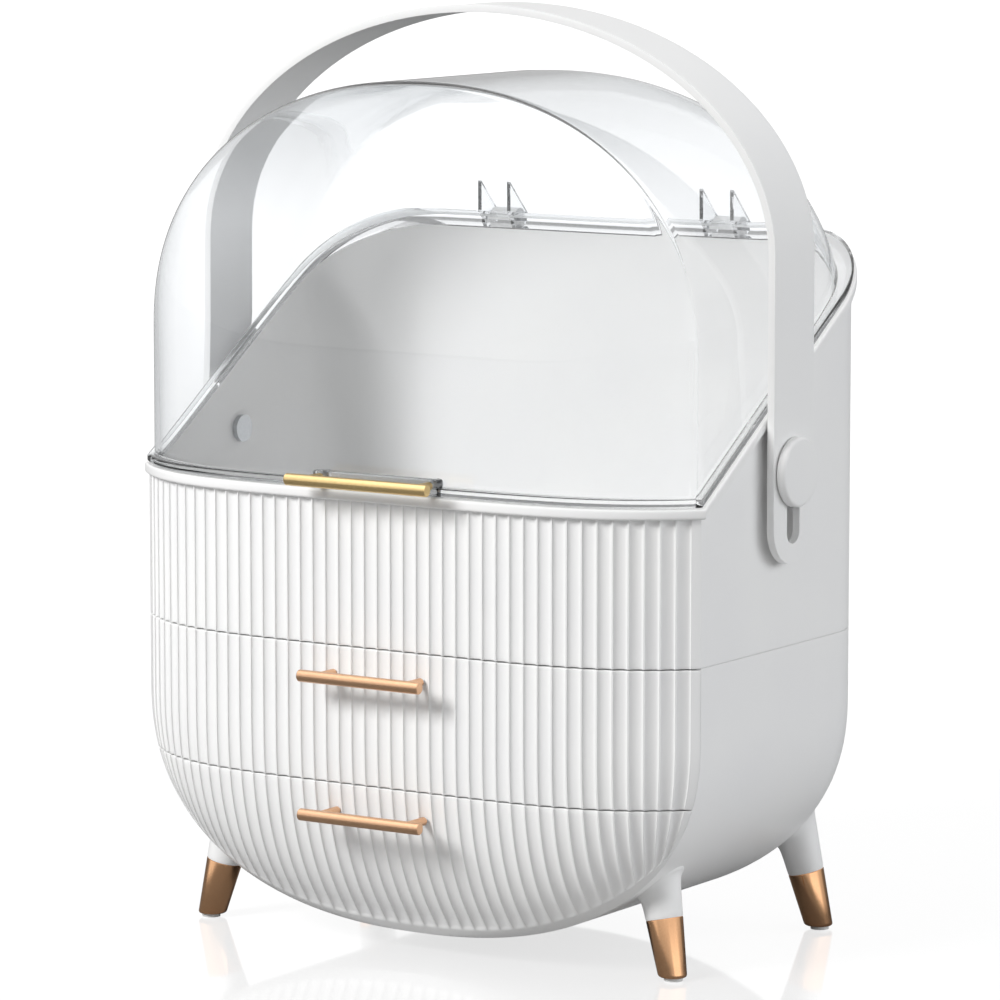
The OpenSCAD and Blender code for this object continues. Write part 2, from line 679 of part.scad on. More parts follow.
// Where column u runs into the belly's outline: a share of the half width, then the height
function foot_share(u) = abs(u) > 0.9999 ? exp(-1 / curl_n) : pow(abs(u), 1 / (1 - curl(u)));
function foot_z(u) = belly_top - belly_h * squircle(foot_share(u), belly_n);

// A drawer front's solid form, flat at the back. low is the height of its level bottom, or
// 0 where it ends on the belly's outline. edge moves its sides in.
module front_form(us, depths, rows, high, low, depth, edge) {
  n = len(us);
  m = len(rows);
  base = low > 0 ? low : belly_gap;
  share = (high - base - edge) / (high - base);
  points = [for (v = rows, i = [0:n - 1])
    let (u = us[i],
         bottom = low > 0 ? low : foot_z(u),
         z = high + (bottom - high) * v,
         fade = low > 0 ? 1 : clamp((z - bottom - flute_fade / 3) / flute_fade, 0, 1),
         x = column_x(u, z) * (half - edge) / half)
    [x, front_y(column_x(u, z), z, depth) + depths[i] * fade, high - edge / 2 + (z - high) * share]];
  grid = [for (j = [0:m - 2], i = [0:n - 2]) let (a = j * n + i)
    each [[a, a + 1, a + n + 1], [a, a + n + 1, a + n]]];
  last = (m - 1) * n;
  top = [[for (i = [n - 1:-1:0]) i]];
  bottom = low > 0 ? [[for (i = [0:n - 1]) last + i]] : [];
  back = [concat([for (j = [0:m - 1]) j * n],
    low > 0 ? [] : [for (i = [1:n - 2]) last + i],
    [for (j = [m - 1:-1:0]) j * n + n - 1])];
  polyhedron(points = points, faces = concat(grid, top, bottom, back));
}

fluted = [for (i = [0:len(columns) - 1]) column_depth(i)];
plain_steps = 14;
plain_us = [for (i = [-plain_steps:plain_steps]) sin(90 * i / plain_steps)];
plain = [for (u = plain_us) 0];
upper_rows = [0, 0.48, 0.62, 0.75, 0.88, 1];
lower_steps = 16;
coarse_steps = 8;
lower_rows = [for (i = [0:lower_steps]) sin(90 * i / lower_steps)];
coarse_rows = [for (i = [0:coarse_steps]) sin(90 * i / coarse_steps)];
upper_low = lower_top + seam / 2;
upper_high = deck_z - seam;
lower_high = lower_top - seam / 2;
upper_bar_z = deck_z - bar_drop;
lower_bar_z = lower_top - bar_drop;
drawer_bar_y = corner_y - bow - drawer_bar_out;

// Screws that hold a front to its tray's plate, one at each side at height z
front_screw_r = 1.2;
front_head_r = 2;
front_bite = 4;
// Distance of a front screw from the front's outer edge: its head clears the tray's wall
front_screw_in = half - upper_tray_w + tray_t + front_head_r + clear;
front_edge = front_screw_in + front_land;
module at_front_screws(z) {
  for (s = [-1, 1]) translate([s * (half_w(z) - front_screw_in), corner_y, z]) children();
}
module front_screws(z) color("#c4c6c8") at_front_screws(z) {
  rod_y(front_screw_r, tip_gap - front_bite, wall + bury);
  rod_y(front_head_r, wall, wall + front_screw_r);
}

// Where a drawer pull's posts stand on the bow, which draws in over the belly, and where the
// heads of their screws seat behind the front's skin
function post_foot(z) = front_y(post_x, z, bow);
function head_seat(z) = post_foot(z) + front_t + clear * 2;

// A front, hollow behind, with holes for the screws of its pull and its tray, and bores in
// which the pull's screw heads are driven
module drawer_front(rows, inner_rows, high, low, bar_z, screw_z) color("#f2f2f1") difference() {
  front_form(columns, fluted, rows, high, low, bow, 0);
  translate([0, over, 0])
    front_form(plain_us, plain, inner_rows, high, low, bow - front_t + over, front_edge);
  for (s = [-1, 1]) translate([s * post_x, 0, bar_z]) {
    rod_y(screw_r + fit, corner_y - bow - flute_d, corner_y);
    rod_y(screw_r * head_share + clear, head_seat(bar_z), corner_y + over);
  }
  at_front_screws(screw_z) rod_y(front_screw_r + fit, -front_bite, over);
}

upper_screw_z = (upper_low + upper_high) / 2;
lower_screw_drop = 18;            // the belly is still wide enough here
lower_screw_z = lower_high - lower_screw_drop;
module upper_drawer_front()
  drawer_front(upper_rows, upper_rows, upper_high, upper_low, upper_bar_z, upper_screw_z);
module lower_drawer_front()
  drawer_front(lower_rows, coarse_rows, lower_high, 0, lower_bar_z, lower_screw_z);

// The pulls of the two drawers
module drawer_pull_bar(z) color("#c68e6c") pull_bar(drawer_bar, drawer_bar_y, z);
module drawer_pull_posts(z) color("#c68e6c")
  pull_posts(post_x, post_r, drawer_bar_y, post_foot(z), z);
module drawer_pull_screws(z) pull_screws(post_x, post_foot(z), head_seat(z), z);

// A tray: an open box behind a plate that closes its drawer's front. side is the gap from
// the body's outline, and the two heights are the tops of the box and of the plate.
plate_in = wall + clear * 2;
module belly_slice(inset, low, high) intersection() {
  polygon(belly_outline(inset, deck_z + over));
  translate([-half, low]) square([body_w, high - low]);
}
module tray(side, low, high, plate_high, screw_z) color("#ebebea") difference() {
  union() {
    along(corner_y, corner_y + tray_d) belly_slice(side, low, high);
    along(corner_y, corner_y + wall) belly_slice(plate_in, low, plate_high);
  }
  along(corner_y + wall, corner_y + tray_d - tray_t)
    belly_slice(side + tray_t, low + tray_t, high + over);
  at_front_screws(screw_z) rod_y(front_screw_r + fit, -over, wall + over);
}

tray_head = 3;                    // room over a tray's box
plate_head = 1;                   // room over the plate at its front
upper_tray_low = lower_top + tray_run;
upper_tray_high = deck_z - lip_h - tray_head * 2;
lower_tray_high = shelf_z - tray_head;
module upper_drawer_tray() tray(half - upper_tray_w, upper_tray_low, upper_tray_high,
  deck_z - lip_h - plate_head, upper_screw_z);
module lower_drawer_tray() tray(wall + tray_side, lower_tray_z, lower_tray_high,
  shelf_z - plate_head, lower_screw_z);

upper_casing();
lower_casing();
drawer_shelf();
drawer_runners();
casing_screws();
leg(-1, -1);  // leg_front_left
leg(1, -1);  // leg_front_right
leg(-1, 1);  // leg_rear_left
leg(1, 1);  // leg_rear_right
tip(-1, -1);  // tip_front_left
tip(1, -1);  // tip_front_right
tip(-1, 1);  // tip_rear_left
tip(1, 1);  // tip_rear_right
pad(-1, -1);  // pad_front_left
pad(1, -1);  // pad_front_right
pad(-1, 1);  // pad_rear_left
pad(1, 1);  // pad_rear_right
hinge_bracket(-1);  // hinge_bracket_left
hinge_bracket(1);  // hinge_bracket_right
hinge_pin(-1);  // hinge_pin_left
hinge_pin(1);  // hinge_pin_right
pivot_pin(-1);  // pivot_pin_left
pivot_pin(1);  // pivot_pin_right
button(-1);  // button_left
button(1);  // button_right
slot_bush(-1);  // slot_bush_left
slot_bush(1);  // slot_bush_right
carry_strap();
clear_lid();
lid_pull_bar();
lid_pull_posts();
lid_pull_screws();
upper_drawer_front();
upper_drawer_tray();
drawer_pull_bar(upper_bar_z);  // upper_pull_bar
drawer_pull_posts(upper_bar_z);  // upper_pull_posts
drawer_pull_screws(upper_bar_z);  // upper_pull_screws
front_screws(upper_screw_z);  // upper_front_screws
lower_drawer_front();
lower_drawer_tray();
drawer_pull_bar(lower_bar_z);  // lower_pull_bar
drawer_pull_posts(lower_bar_z);  // lower_pull_posts
drawer_pull_screws(lower_bar_z);  // lower_pull_screws
front_screws(lower_screw_z);  // lower_front_screws
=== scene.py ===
import math
import bmesh
import bpy
import numpy as np
from mathutils import Matrix, Vector


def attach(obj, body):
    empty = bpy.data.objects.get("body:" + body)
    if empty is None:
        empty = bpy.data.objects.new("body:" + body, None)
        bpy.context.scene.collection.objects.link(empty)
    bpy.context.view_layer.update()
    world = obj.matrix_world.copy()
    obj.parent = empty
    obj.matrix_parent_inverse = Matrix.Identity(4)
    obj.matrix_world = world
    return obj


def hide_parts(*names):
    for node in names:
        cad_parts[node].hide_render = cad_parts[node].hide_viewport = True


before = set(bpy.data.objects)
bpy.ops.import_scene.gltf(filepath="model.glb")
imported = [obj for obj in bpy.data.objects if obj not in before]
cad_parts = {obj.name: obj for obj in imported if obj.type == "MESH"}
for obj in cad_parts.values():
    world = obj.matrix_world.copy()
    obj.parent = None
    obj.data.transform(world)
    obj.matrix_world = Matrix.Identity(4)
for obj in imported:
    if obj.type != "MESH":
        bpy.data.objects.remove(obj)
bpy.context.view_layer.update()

# ------------------------------------------------------------------------------------------
# The studio: a plain pale floor under a white sky, with soft lights. The camera stands at the
# photograph's viewing angle, 33 degrees to the right of the front and 7.6 degrees above level.

camera_data = bpy.data.cameras.new("camera")
camera_data.sensor_width = 36
camera_data.lens = 193.4               # a long lens, fitted to the photograph with the place
camera_data.clip_end = 200
camera = bpy.data.objects.new("camera", camera_data)
camera.location = (1.2535, -1.9213, 0.4928)
camera.rotation_euler = (math.radians(90 - 7.559), 0, math.radians(33.034))
bpy.context.scene.collection.objects.link(camera)
bpy.context.scene.camera = camera
bpy.context.scene.view_settings.view_transform = "Standard"


def linear(hex_colour):
    """The linear colour of an sRGB hex value, with full alpha."""
    shares = [int(hex_colour[i:i + 2], 16) / 255 for i in (1, 3, 5)]
    return [s / 12.92 if s <= 0.04045 else ((s + 0.055) / 1.055) ** 2.4 for s in shares] + [1]


def add_node(tree, kind, settings, links):
    """Adds a node, with its settings by property or socket name and its links by socket name."""
    node = tree.nodes.new(kind)
    for name, value in settings.items():
        if name in node.inputs:
            node.inputs[name].default_value = value
        else:
            setattr(node, name, value)
    for name, source in links.items():
        tree.links.new(source, node.inputs[name])
    return node


def new_finish(name):
    """An empty material and its node tree."""
    finish = bpy.data.materials.new(name)
    finish.use_nodes = True
    finish.node_tree.nodes.clear()
    return finish, finish.node_tree


# A white tent of light, with darker panels low down so that metal has something to show. What
# the lens sees past the object or through its clear lid is plain white, and only rays that the
# lid's edges bend upwards meet something darker, which draws its outline. Each panel edge is a
# bearing, as a share of a full turn, and a brightness.
TENT_GLOW = 0.34            # what the tent gives to dull surfaces
TENT_PANELS = ((0, 0.3), (0.03, 0.3), (0.08, 1.2), (0.16, 1.2), (0.21, 0.7), (0.31, 0.7),
               (0.37, 0.9), (0.4, 1.7), (0.52, 1.7), (0.57, 0.8), (0.63, 0.6), (0.66, 0.2),
               (0.77, 0.2), (0.8, 0.6), (0.88, 0.6), (0.91, 0.2))
tent = bpy.data.worlds.new("white_tent")
tent.use_nodes = True
tree = tent.node_tree
tree.nodes.clear()
ray = add_node(tree, "ShaderNodeTexCoord", {}, {})
axes = add_node(tree, "ShaderNodeSeparateXYZ", {}, {"Vector": ray.outputs["Generated"]})
bearing = add_node(tree, "ShaderNodeMath", {"operation": "ARCTAN2"}, {"Value": axes.outputs["Y"]})
tree.links.new(axes.outputs["X"], bearing.inputs[1])
turn = add_node(tree, "ShaderNodeMapRange", {"From Min": -math.pi, "From Max": math.pi},
                {"Value": bearing.outputs[0]})
panels = add_node(tree, "ShaderNodeValToRGB", {}, {"Fac": turn.outputs["Result"]})
stops = panels.color_ramp.elements
stops[0].position = stops[1].position = 0
while len(stops) < len(TENT_PANELS):
    stops.new(1)
for stop, (place, shade) in zip(stops, TENT_PANELS):
    stop.position = place
    stop.color = (shade, shade, shade, 1)
height = add_node(tree, "ShaderNodeMapRange", {"From Min": 0.1, "From Max": 0.35},
                  {"Value": axes.outputs["Z"]})
roof = add_node(tree, "ShaderNodeMapRange", {"From Min": 0.35, "From Max": 0.9, "To Min": 1,
                                             "To Max": 2.2}, {"Value": axes.outputs["Z"]})
mirrored = add_node(tree, "ShaderNodeMix", {}, {"Factor": height.outputs["Result"],
                                                "A": panels.outputs["Color"],
                                                "B": roof.outputs["Result"]})
path = add_node(tree, "ShaderNodeLightPath", {}, {})
glint = add_node(tree, "ShaderNodeMath", {"operation": "GREATER_THAN"},
                 {"Value": path.outputs["Is Glossy Ray"]})
tree.links.new(path.outputs["Is Transmission Ray"], glint.inputs[1])
cast = add_node(tree, "ShaderNodeMix", {}, {"Factor": glint.outputs[0],
                                            "B": mirrored.outputs["Result"]})
cast.inputs["A"].default_value = TENT_GLOW
through = add_node(tree, "ShaderNodeMath", {"operation": "GREATER_THAN"},
                   {"Value": path.outputs["Is Transmission Ray"]})
tree.links.new(path.outputs["Diffuse Depth"], through.inputs[1])
shown = add_node(tree, "ShaderNodeMath", {"operation": "MAXIMUM"},
                 {"Value": path.outputs["Is Camera Ray"]})
tree.links.new(through.outputs[0], shown.inputs[1])
sky = add_node(tree, "ShaderNodeMapRange", {"From Min": 0.2, "From Max": 0.45, "To Min": 1,
                                            "To Max": 0.3}, {"Value": axes.outputs["Z"]})
glow = add_node(tree, "ShaderNodeMix", {}, {"Factor": shown.outputs[0],
                                            "A": cast.outputs["Result"],
                                            "B": sky.outputs["Result"]})
tent_light = add_node(tree, "ShaderNodeBackground", {"Color": linear("#FFFFFF")},
                      {"Strength": glow.outputs["Result"]})
add_node(tree, "ShaderNodeOutputWorld", {}, {"Surface": tent_light.outputs[0]})
bpy.context.scene.world = tent

# The floor is white acrylic lit from below, as for catalogue work: it shows hardly any shadow
# and a faint mirror image. Black flags round the set keep most of its light off the object.
floor_sheet, tree = new_finish("lit_white_acrylic")
path = add_node(tree, "ShaderNodeLightPath", {}, {})
through = add_node(tree, "ShaderNodeMath", {"operation": "GREATER_THAN"},
                   {"Value": path.outputs["Is Transmission Ray"]})
tree.links.new(path.outputs["Diffuse Depth"], through.inputs[1])
shown = add_node(tree, "ShaderNodeMath", {"operation": "MAXIMUM"},
                 {"Value": path.outputs["Is Camera Ray"]})
tree.links.new(through.outputs[0], shown.inputs[1])
tone = add_node(tree, "ShaderNodeMix", {"data_type": "RGBA"},
                {"Factor": path.outputs["Is Glossy Ray"]})
tone.inputs[6].default_value = linear("#B0B0B0")           # A: the light it throws back up
tone.inputs[7].default_value = linear("#909090")           # B: what shows in the metal
flagged = add_node(tree, "ShaderNodeBsdfDiffuse", {}, {"Color": tone.outputs[2]})
backlit = add_node(tree, "ShaderNodeBsdfPrincipled", {
    "Base Color": linear("#707070"), "Roughness": 0.06, "IOR": 1.3,
    "Emission Color": linear("#FFFFFF"), "Emission Strength": 0.72}, {})
sheet = add_node(tree, "ShaderNodeMixShader", {}, {"Fac": shown.outputs[0]})
tree.links.new(flagged.outputs[0], sheet.inputs[1])
tree.links.new(backlit.outputs[0], sheet.inputs[2])
add_node(tree, "ShaderNodeOutputMaterial", {}, {"Surface": sheet.outputs[0]})
FLOOR = 40                  # metres from the object to the floor's edge
floor_mesh = bpy.data.meshes.new("floor")
floor_mesh.from_pydata([(-FLOOR, -FLOOR, 0), (FLOOR, -FLOOR, 0), (FLOOR, FLOOR, 0),
                        (-FLOOR, FLOOR, 0)], [], [(0, 1, 2, 3)])
floor_mesh.materials.append(floor_sheet)
floor = bpy.data.objects.new("floor", floor_mesh)
bpy.context.scene.collection.objects.link(floor)

# Each lamp: its place, or for a sun the way that it shines from, its aim, its strength, and a
# sun's angle in degrees or a disk's width in metres
for name, kind, place, target, strength, spread in (
        ("key_light", "SUN", (-0.28, -0.77, 0.57), (0, 0, 0), 1.5, 20),
        ("near_light", "AREA", (-0.35, -0.75, 0.6), (0, -0.03, 0.17), 3.0, 0.3),
        ("side_light", "SUN", (0.85, 0.5, 0.08), (0, 0, 0), 1.82, 40),
        ("side_fill", "SUN", (1, -0.1, 0.12), (0, 0, 0), 0.4, 40)):
    lamp = bpy.data.lights.new(name, kind)
    lamp.energy = strength
    lamp.color = linear("#FAFCFF" if name.startswith("side") else "#FFFFFF")[:3]
    if kind == "SUN":
        lamp.angle = math.radians(spread)
    else:
        lamp.shape, lamp.size = "DISK", spread
    light = bpy.data.objects.new(name, lamp)
    light.location = place
    light.rotation_euler = (Vector(target) - Vector(place)).to_track_quat("-Z", "Y").to_euler()
    light.visible_transmission = light.visible_glossy = False
    bpy.context.scene.collection.objects.link(light)

# ------------------------------------------------------------------------------------------
# The tub: one injection moulding in white ABS, with a bowed, fluted front, straight sides that
# climb to the back, and a rolled rim. A round boss on each side carries the strap's pivot.

HALF = 140                  # half the width over the side walls, in mm like every size here
CORNER_Y, BACK_Y = -58.45, 93.55
BACK_ROUND = 39
BOW, BOW_POWER = 30, 4.9
WALL = 2.5
DECK_Z, RIM_Z = 135.2, 201.4
RIM_SLOPE = 99 / 152
RIM_OUT, RIM_THICK, RIM_ROLL, RIM_LIP = 2.4, 4.4, 1.1, 0.6
FLOOR_ROUND = 3             # the rounding inside, from the walls to the tub's floor
BOSS_R, BOSS_OUT, BOSS_EDGE = 11, 142.8, 0.5
FLUTES, FLUTE_MARGIN, FLUTE_DEPTH = 44, 3.8, 1.5
RIDGE = 0.05                # half of a ridge's share of the flutes' pitch
FLUTE_STEPS = 16            # points across a flute
PIVOT_Y, PIVOT_Z = 5.55, 210.3

# ABS from a finely blasted mould: a milky white with a soft sheen. The mould's grain, about
# 0.1 mm, is too fine to show, so it is drawn at 1.2 mm and very shallow.
white_abs, tree = new_finish("moulded_white_abs")
place = add_node(tree, "ShaderNodeTexCoord", {}, {})
grain = add_node(tree, "ShaderNodeTexNoise", {"Scale": 1 / 0.0012, "Detail": 3},
                 {"Vector": place.outputs["Object"]})
cloud = add_node(tree, "ShaderNodeTexNoise", {"Scale": 1 / 0.06, "Detail": 2},
                 {"Vector": place.outputs["Object"]})
tint = add_node(tree, "ShaderNodeValToRGB", {}, {"Fac": cloud.outputs["Fac"]})
tint.color_ramp.elements[0].position, tint.color_ramp.elements[1].position = 0.3, 0.7
tint.color_ramp.elements[0].color = linear("#F1F1F1")
tint.color_ramp.elements[1].color = linear("#F4F4F3")
sheen = add_node(tree, "ShaderNodeMapRange", {"To Min": 0.3, "To Max": 0.4},
                 {"Value": grain.outputs["Fac"]})
bump = add_node(tree, "ShaderNodeBump", {"Strength": 0.05, "Distance": 0.00008},
                {"Height": grain.outputs["Fac"]})
shader = add_node(tree, "ShaderNodeBsdfPrincipled", {"IOR": 1.5}, {
    "Base Color": tint.outputs["Color"], "Roughness": sheen.outputs["Result"],
    "Normal": bump.outputs["Normal"]})
add_node(tree, "ShaderNodeOutputMaterial", {}, {"Surface": shader.outputs[0]})


def squircle(share, power):
    """The other half axis of a superellipse, as a share: 1 at its middle and 0 at its end."""
    return (1 - np.clip(np.abs(share), 0, 1) ** power) ** (1 / power)


def bow_y(share, depth):
    """How far forward the bow stands at a share of its half width."""
    return CORNER_Y - depth * (1 - np.abs(share) ** BOW_POWER)


# The flutes' places along the bow: an even pitch by length, from margin to margin
fine = np.linspace(-1, 1, 4001)
runs = np.concatenate([[0], np.cumsum(np.hypot(np.diff(fine) * HALF, np.diff(bow_y(fine, BOW))))])
pitch = (runs[-1] - 2 * FLUTE_MARGIN) / FLUTES
hollow = np.pi * np.arange(FLUTE_STEPS + 1) / FLUTE_STEPS
across_flute = pitch * (RIDGE + (1 - 2 * RIDGE) * (1 - np.cos(hollow)) / 2)
flute_places = (FLUTE_MARGIN + pitch * np.arange(FLUTES)[:, None] + across_flute).ravel()
edge_places = np.linspace(0, FLUTE_MARGIN, 5)
front_places = np.concatenate([edge_places, flute_places, runs[-1] - edge_places[::-1]])
front_shares = np.interp(front_places, runs, fine)
flute_depths = np.concatenate([np.zeros(5), np.tile(FLUTE_DEPTH * np.sin(hollow), FLUTES),
                               np.zeros(5)])


def plan(inset, depth, flutes=0):
    """The tub seen from above, moved inwards: its bow, its right side, back and left side."""
    half = HALF - inset
    turn = np.radians(np.linspace(0, 90, 17))
    radius = BACK_ROUND - inset
    side_y = np.linspace(CORNER_Y, BACK_Y - BACK_ROUND, 14)[1:-1]
    right_x = HALF - BACK_ROUND + radius * np.cos(turn)
    right_y = BACK_Y - BACK_ROUND + radius * np.sin(turn)
    back_x = np.linspace(HALF - BACK_ROUND, BACK_ROUND - HALF, 12)[1:-1]
    x = np.concatenate([front_shares * half, np.full(len(side_y), half), right_x, back_x,
                        -right_x[::-1], np.full(len(side_y), -half)])
    y = np.concatenate([bow_y(front_shares, depth) + flutes * flute_depths, side_y, right_y,
                        np.full(len(back_x), BACK_Y - inset), right_y[::-1], side_y[::-1]])
    return x, y


def rim_at(y):
    """The height of the rim's top at depth y."""
    return RIM_Z + RIM_SLOPE * np.maximum(0, y - CORNER_Y)


def quads(rows, columns, first=0, ring=True):
    """The faces of a grid of points. With ring, each row closes on itself."""
    last = columns if ring else columns - 1
    return [(first + r * columns + c, first + r * columns + (c + 1) % columns,
             first + (r + 1) * columns + (c + 1) % columns, first + (r + 1) * columns + c)
            for r in range(rows - 1) for c in range(last)]


def lathe(profile, steps, axis, centre):
    """Points and faces of a profile of (radius, height) pairs turned round an axis."""
    turn = 2 * np.pi * np.arange(steps) / steps
    points = []
    for radius, height in profile:
        u, v, w = radius * np.cos(turn), radius * np.sin(turn), np.full(steps, float(height))
        order = {"x": (w, u, v), "y": (u, w, v), "z": (u, v, w)}[axis]
        points.append(np.stack(order, 1) + centre)
    count = len(profile)
    faces = quads(count, steps) + [tuple(range(steps)), tuple((count - 1) * steps + k
                                                              for k in range(steps))]
    return np.concatenate(points), faces


def join(*parts):
    """Several sets of points and faces as one."""
    points, faces, first = [], [], 0
    for some_points, some_faces in parts:
        points.append(np.asarray(some_points, float))
        faces += [tuple(first + k for k in face) for face in some_faces]
        first += len(some_points)
    return np.concatenate(points), faces


def make_piece(name, shape, finish, body, nodes, crease=35, turn_faces=True):
    """A mesh from points in millimetres, in its finish, on its body, in place of its nodes."""
    mesh = bpy.data.meshes.new(name)
    mesh.from_pydata((np.asarray(shape[0]) / 1000).tolist(), [], shape[1])
    solid = bmesh.new()
    solid.from_mesh(mesh)
    bmesh.ops.remove_doubles(solid, verts=solid.verts, dist=1e-6)
    if turn_faces:
        bmesh.ops.recalc_face_normals(solid, faces=solid.faces)
    solid.to_mesh(mesh)
    solid.free()
    mesh.shade_smooth()
    mesh.set_sharp_from_angle(angle=math.radians(crease))
    mesh.materials.append(finish)
    piece = bpy.data.objects.new(name, mesh)
    bpy.context.scene.collection.objects.link(piece)
    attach(piece, body)
    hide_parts(*nodes)
    return piece


quarter = np.radians(np.linspace(0, 90, 5))
rows = []
for inset, up in ((0.45, 0), (0.13, 0.13), (0, 0.45), (0, 1.5)):  # the moulding's bottom edge
    x, y = plan(inset, BOW - inset, 1)
    rows.append(np.stack([x, y, np.full(len(x), DECK_Z + up)], 1))
x, y = plan(0, BOW, 1)
rows += [np.stack([x, y, rim_at(y) - RIM_THICK - down], 1) for down in (1.5, 0)]
rim_profile = ([(RIM_OUT - RIM_ROLL * (1 - math.sin(a)), RIM_ROLL * (1 - math.cos(a)) - RIM_THICK)
                for a in quarter]
               + [(RIM_OUT - RIM_ROLL * (1 - math.cos(a)), -RIM_ROLL * (1 - math.sin(a)))
                  for a in quarter]
               + [(RIM_LIP * (1 - math.sin(a)) - WALL, -RIM_LIP * (1 - math.cos(a)))
                  for a in quarter])
for out, up in rim_profile:
    x, y = plan(-out, BOW + out)
    rows.append(np.stack([x, y, rim_at(y) + up], 1))
for a in quarter:                                                  # the tub's inner bottom edge
    inset = FLOOR_ROUND * (1 - math.cos(a))
    x, y = plan(WALL + inset, BOW - WALL - FLUTE_DEPTH / 2 - inset)
    rows.append(np.stack([x, y, np.full(len(x), DECK_Z + WALL
                                        + FLOOR_ROUND * (1 - math.sin(a)))], 1))
around = len(rows[0])
tub = (np.concatenate(rows), quads(len(rows), around)
       + [tuple(range(around)), tuple((len(rows) - 1) * around + k for k in range(around))])
bosses = [lathe([(BOSS_R, side * (HALF - 1)), (BOSS_R, side * (BOSS_OUT - BOSS_EDGE)),
                 (BOSS_R - BOSS_EDGE, side * BOSS_OUT)], 48, "x", (0, PIVOT_Y, PIVOT_Z))
          for side in (-1, 1)]
make_piece("tub", join(tub, *bosses), white_abs, "casing", ["upper_casing"])

# ------------------------------------------------------------------------------------------
# The lower casing: a second white ABS moulding, like a rounded belly that is open at the front
# and the top. The tub drops onto it and three screws at the back hold the two together.

BELLY_TOP, BELLY_DEEP, BELLY_POWER = 105, 96, 2.3


def belly(inset, top, steps=72):
    """The casing's outline seen from the front, from its right top round the bottom."""
    turn = np.radians(np.linspace(0, 180, steps + 1))
    cosine, sine = np.cos(turn), np.sin(turn)
    across = np.sign(cosine) * np.abs(cosine) ** (2 - 2 / BELLY_POWER) / HALF
    upward = np.abs(sine) ** (2 - 2 / BELLY_POWER) / BELLY_DEEP
    length = np.hypot(across, upward)
    x = HALF * np.sign(cosine) * np.abs(cosine) ** (2 / BELLY_POWER) - inset * across / length
    z = BELLY_TOP - BELLY_DEEP * np.abs(sine) ** (2 / BELLY_POWER) + inset * upward / length
    return (np.concatenate([[HALF - inset], x, [inset - HALF]]),
            np.concatenate([[top], z, [top]]))


casing_front = CORNER_Y + 0.3
rows = []
for skin, edge in ((0, 0.15), (WALL, -0.15)):              # outside, then inside
    places = [(casing_front, skin + edge)]
    places += [(casing_front + abs(edge) * math.sin(a), skin + edge * (1 - math.sin(a)))
               for a in quarter[1:]]
    places += [(y, skin) for y in np.linspace(casing_front + 4, BACK_Y - BACK_ROUND - 2, 8)]
    radius = BACK_ROUND - skin
    places += [(BACK_Y - BACK_ROUND + radius * math.sin(a), skin + radius * (1 - math.cos(a)))
               for a in np.radians(np.linspace(0, 90, 25))]
    layer = []
    for y, inset in places:
        x, z = belly(inset, DECK_Z)
        layer.append(np.stack([x, np.full(len(x), y), z], 1))
    rows.append(layer)
outer, inner = rows
across = len(outer[0])
count = len(outer)
points = np.concatenate(outer + inner)
faces = quads(count, across, 0, False) + quads(count, across, count * across, False)
faces += [tuple((count - 1) * across + k for k in range(across)),
          tuple((2 * count - 1) * across + k for k in range(across))]
faces += [(k, k + 1, count * across + k + 1, count * across + k) for k in range(across - 1)]
for end in (0, across - 1):
    faces += [(r * across + end, (r + 1) * across + end, (count + r + 1) * across + end,
               (count + r) * across + end) for r in range(count - 1)]
last = (count - 1) * across
faces.append((last, last + across - 1, last + count * across + across - 1, last + count * across))
make_piece("lower_casing", (points, faces), white_abs, "casing", ["lower_casing"])

# ------------------------------------------------------------------------------------------
# The drawer fronts: white ABS pillows whose flutes carry on from the tub's. The upper one is
# straight, and the lower one draws in under the belly, where its flutes fade out in rounded
# ends a few millimetres short of its edge. Screws from behind hold each to its tray.

CURL = 8                    # how sharply the outer flutes follow the belly's outline
SEAM = 0.6
EDGE = 0.45                 # the rounding along a front's top and bottom
FADE_START, FADE_RUN = 4.5, 5
LOWER_TOP = 76


def half_width(z):
    """Half the belly's width at height z."""
    return HALF * squircle((BELLY_TOP - z) / BELLY_DEEP, BELLY_POWER) * (z < BELLY_TOP) \
        + HALF * (z >= BELLY_TOP)


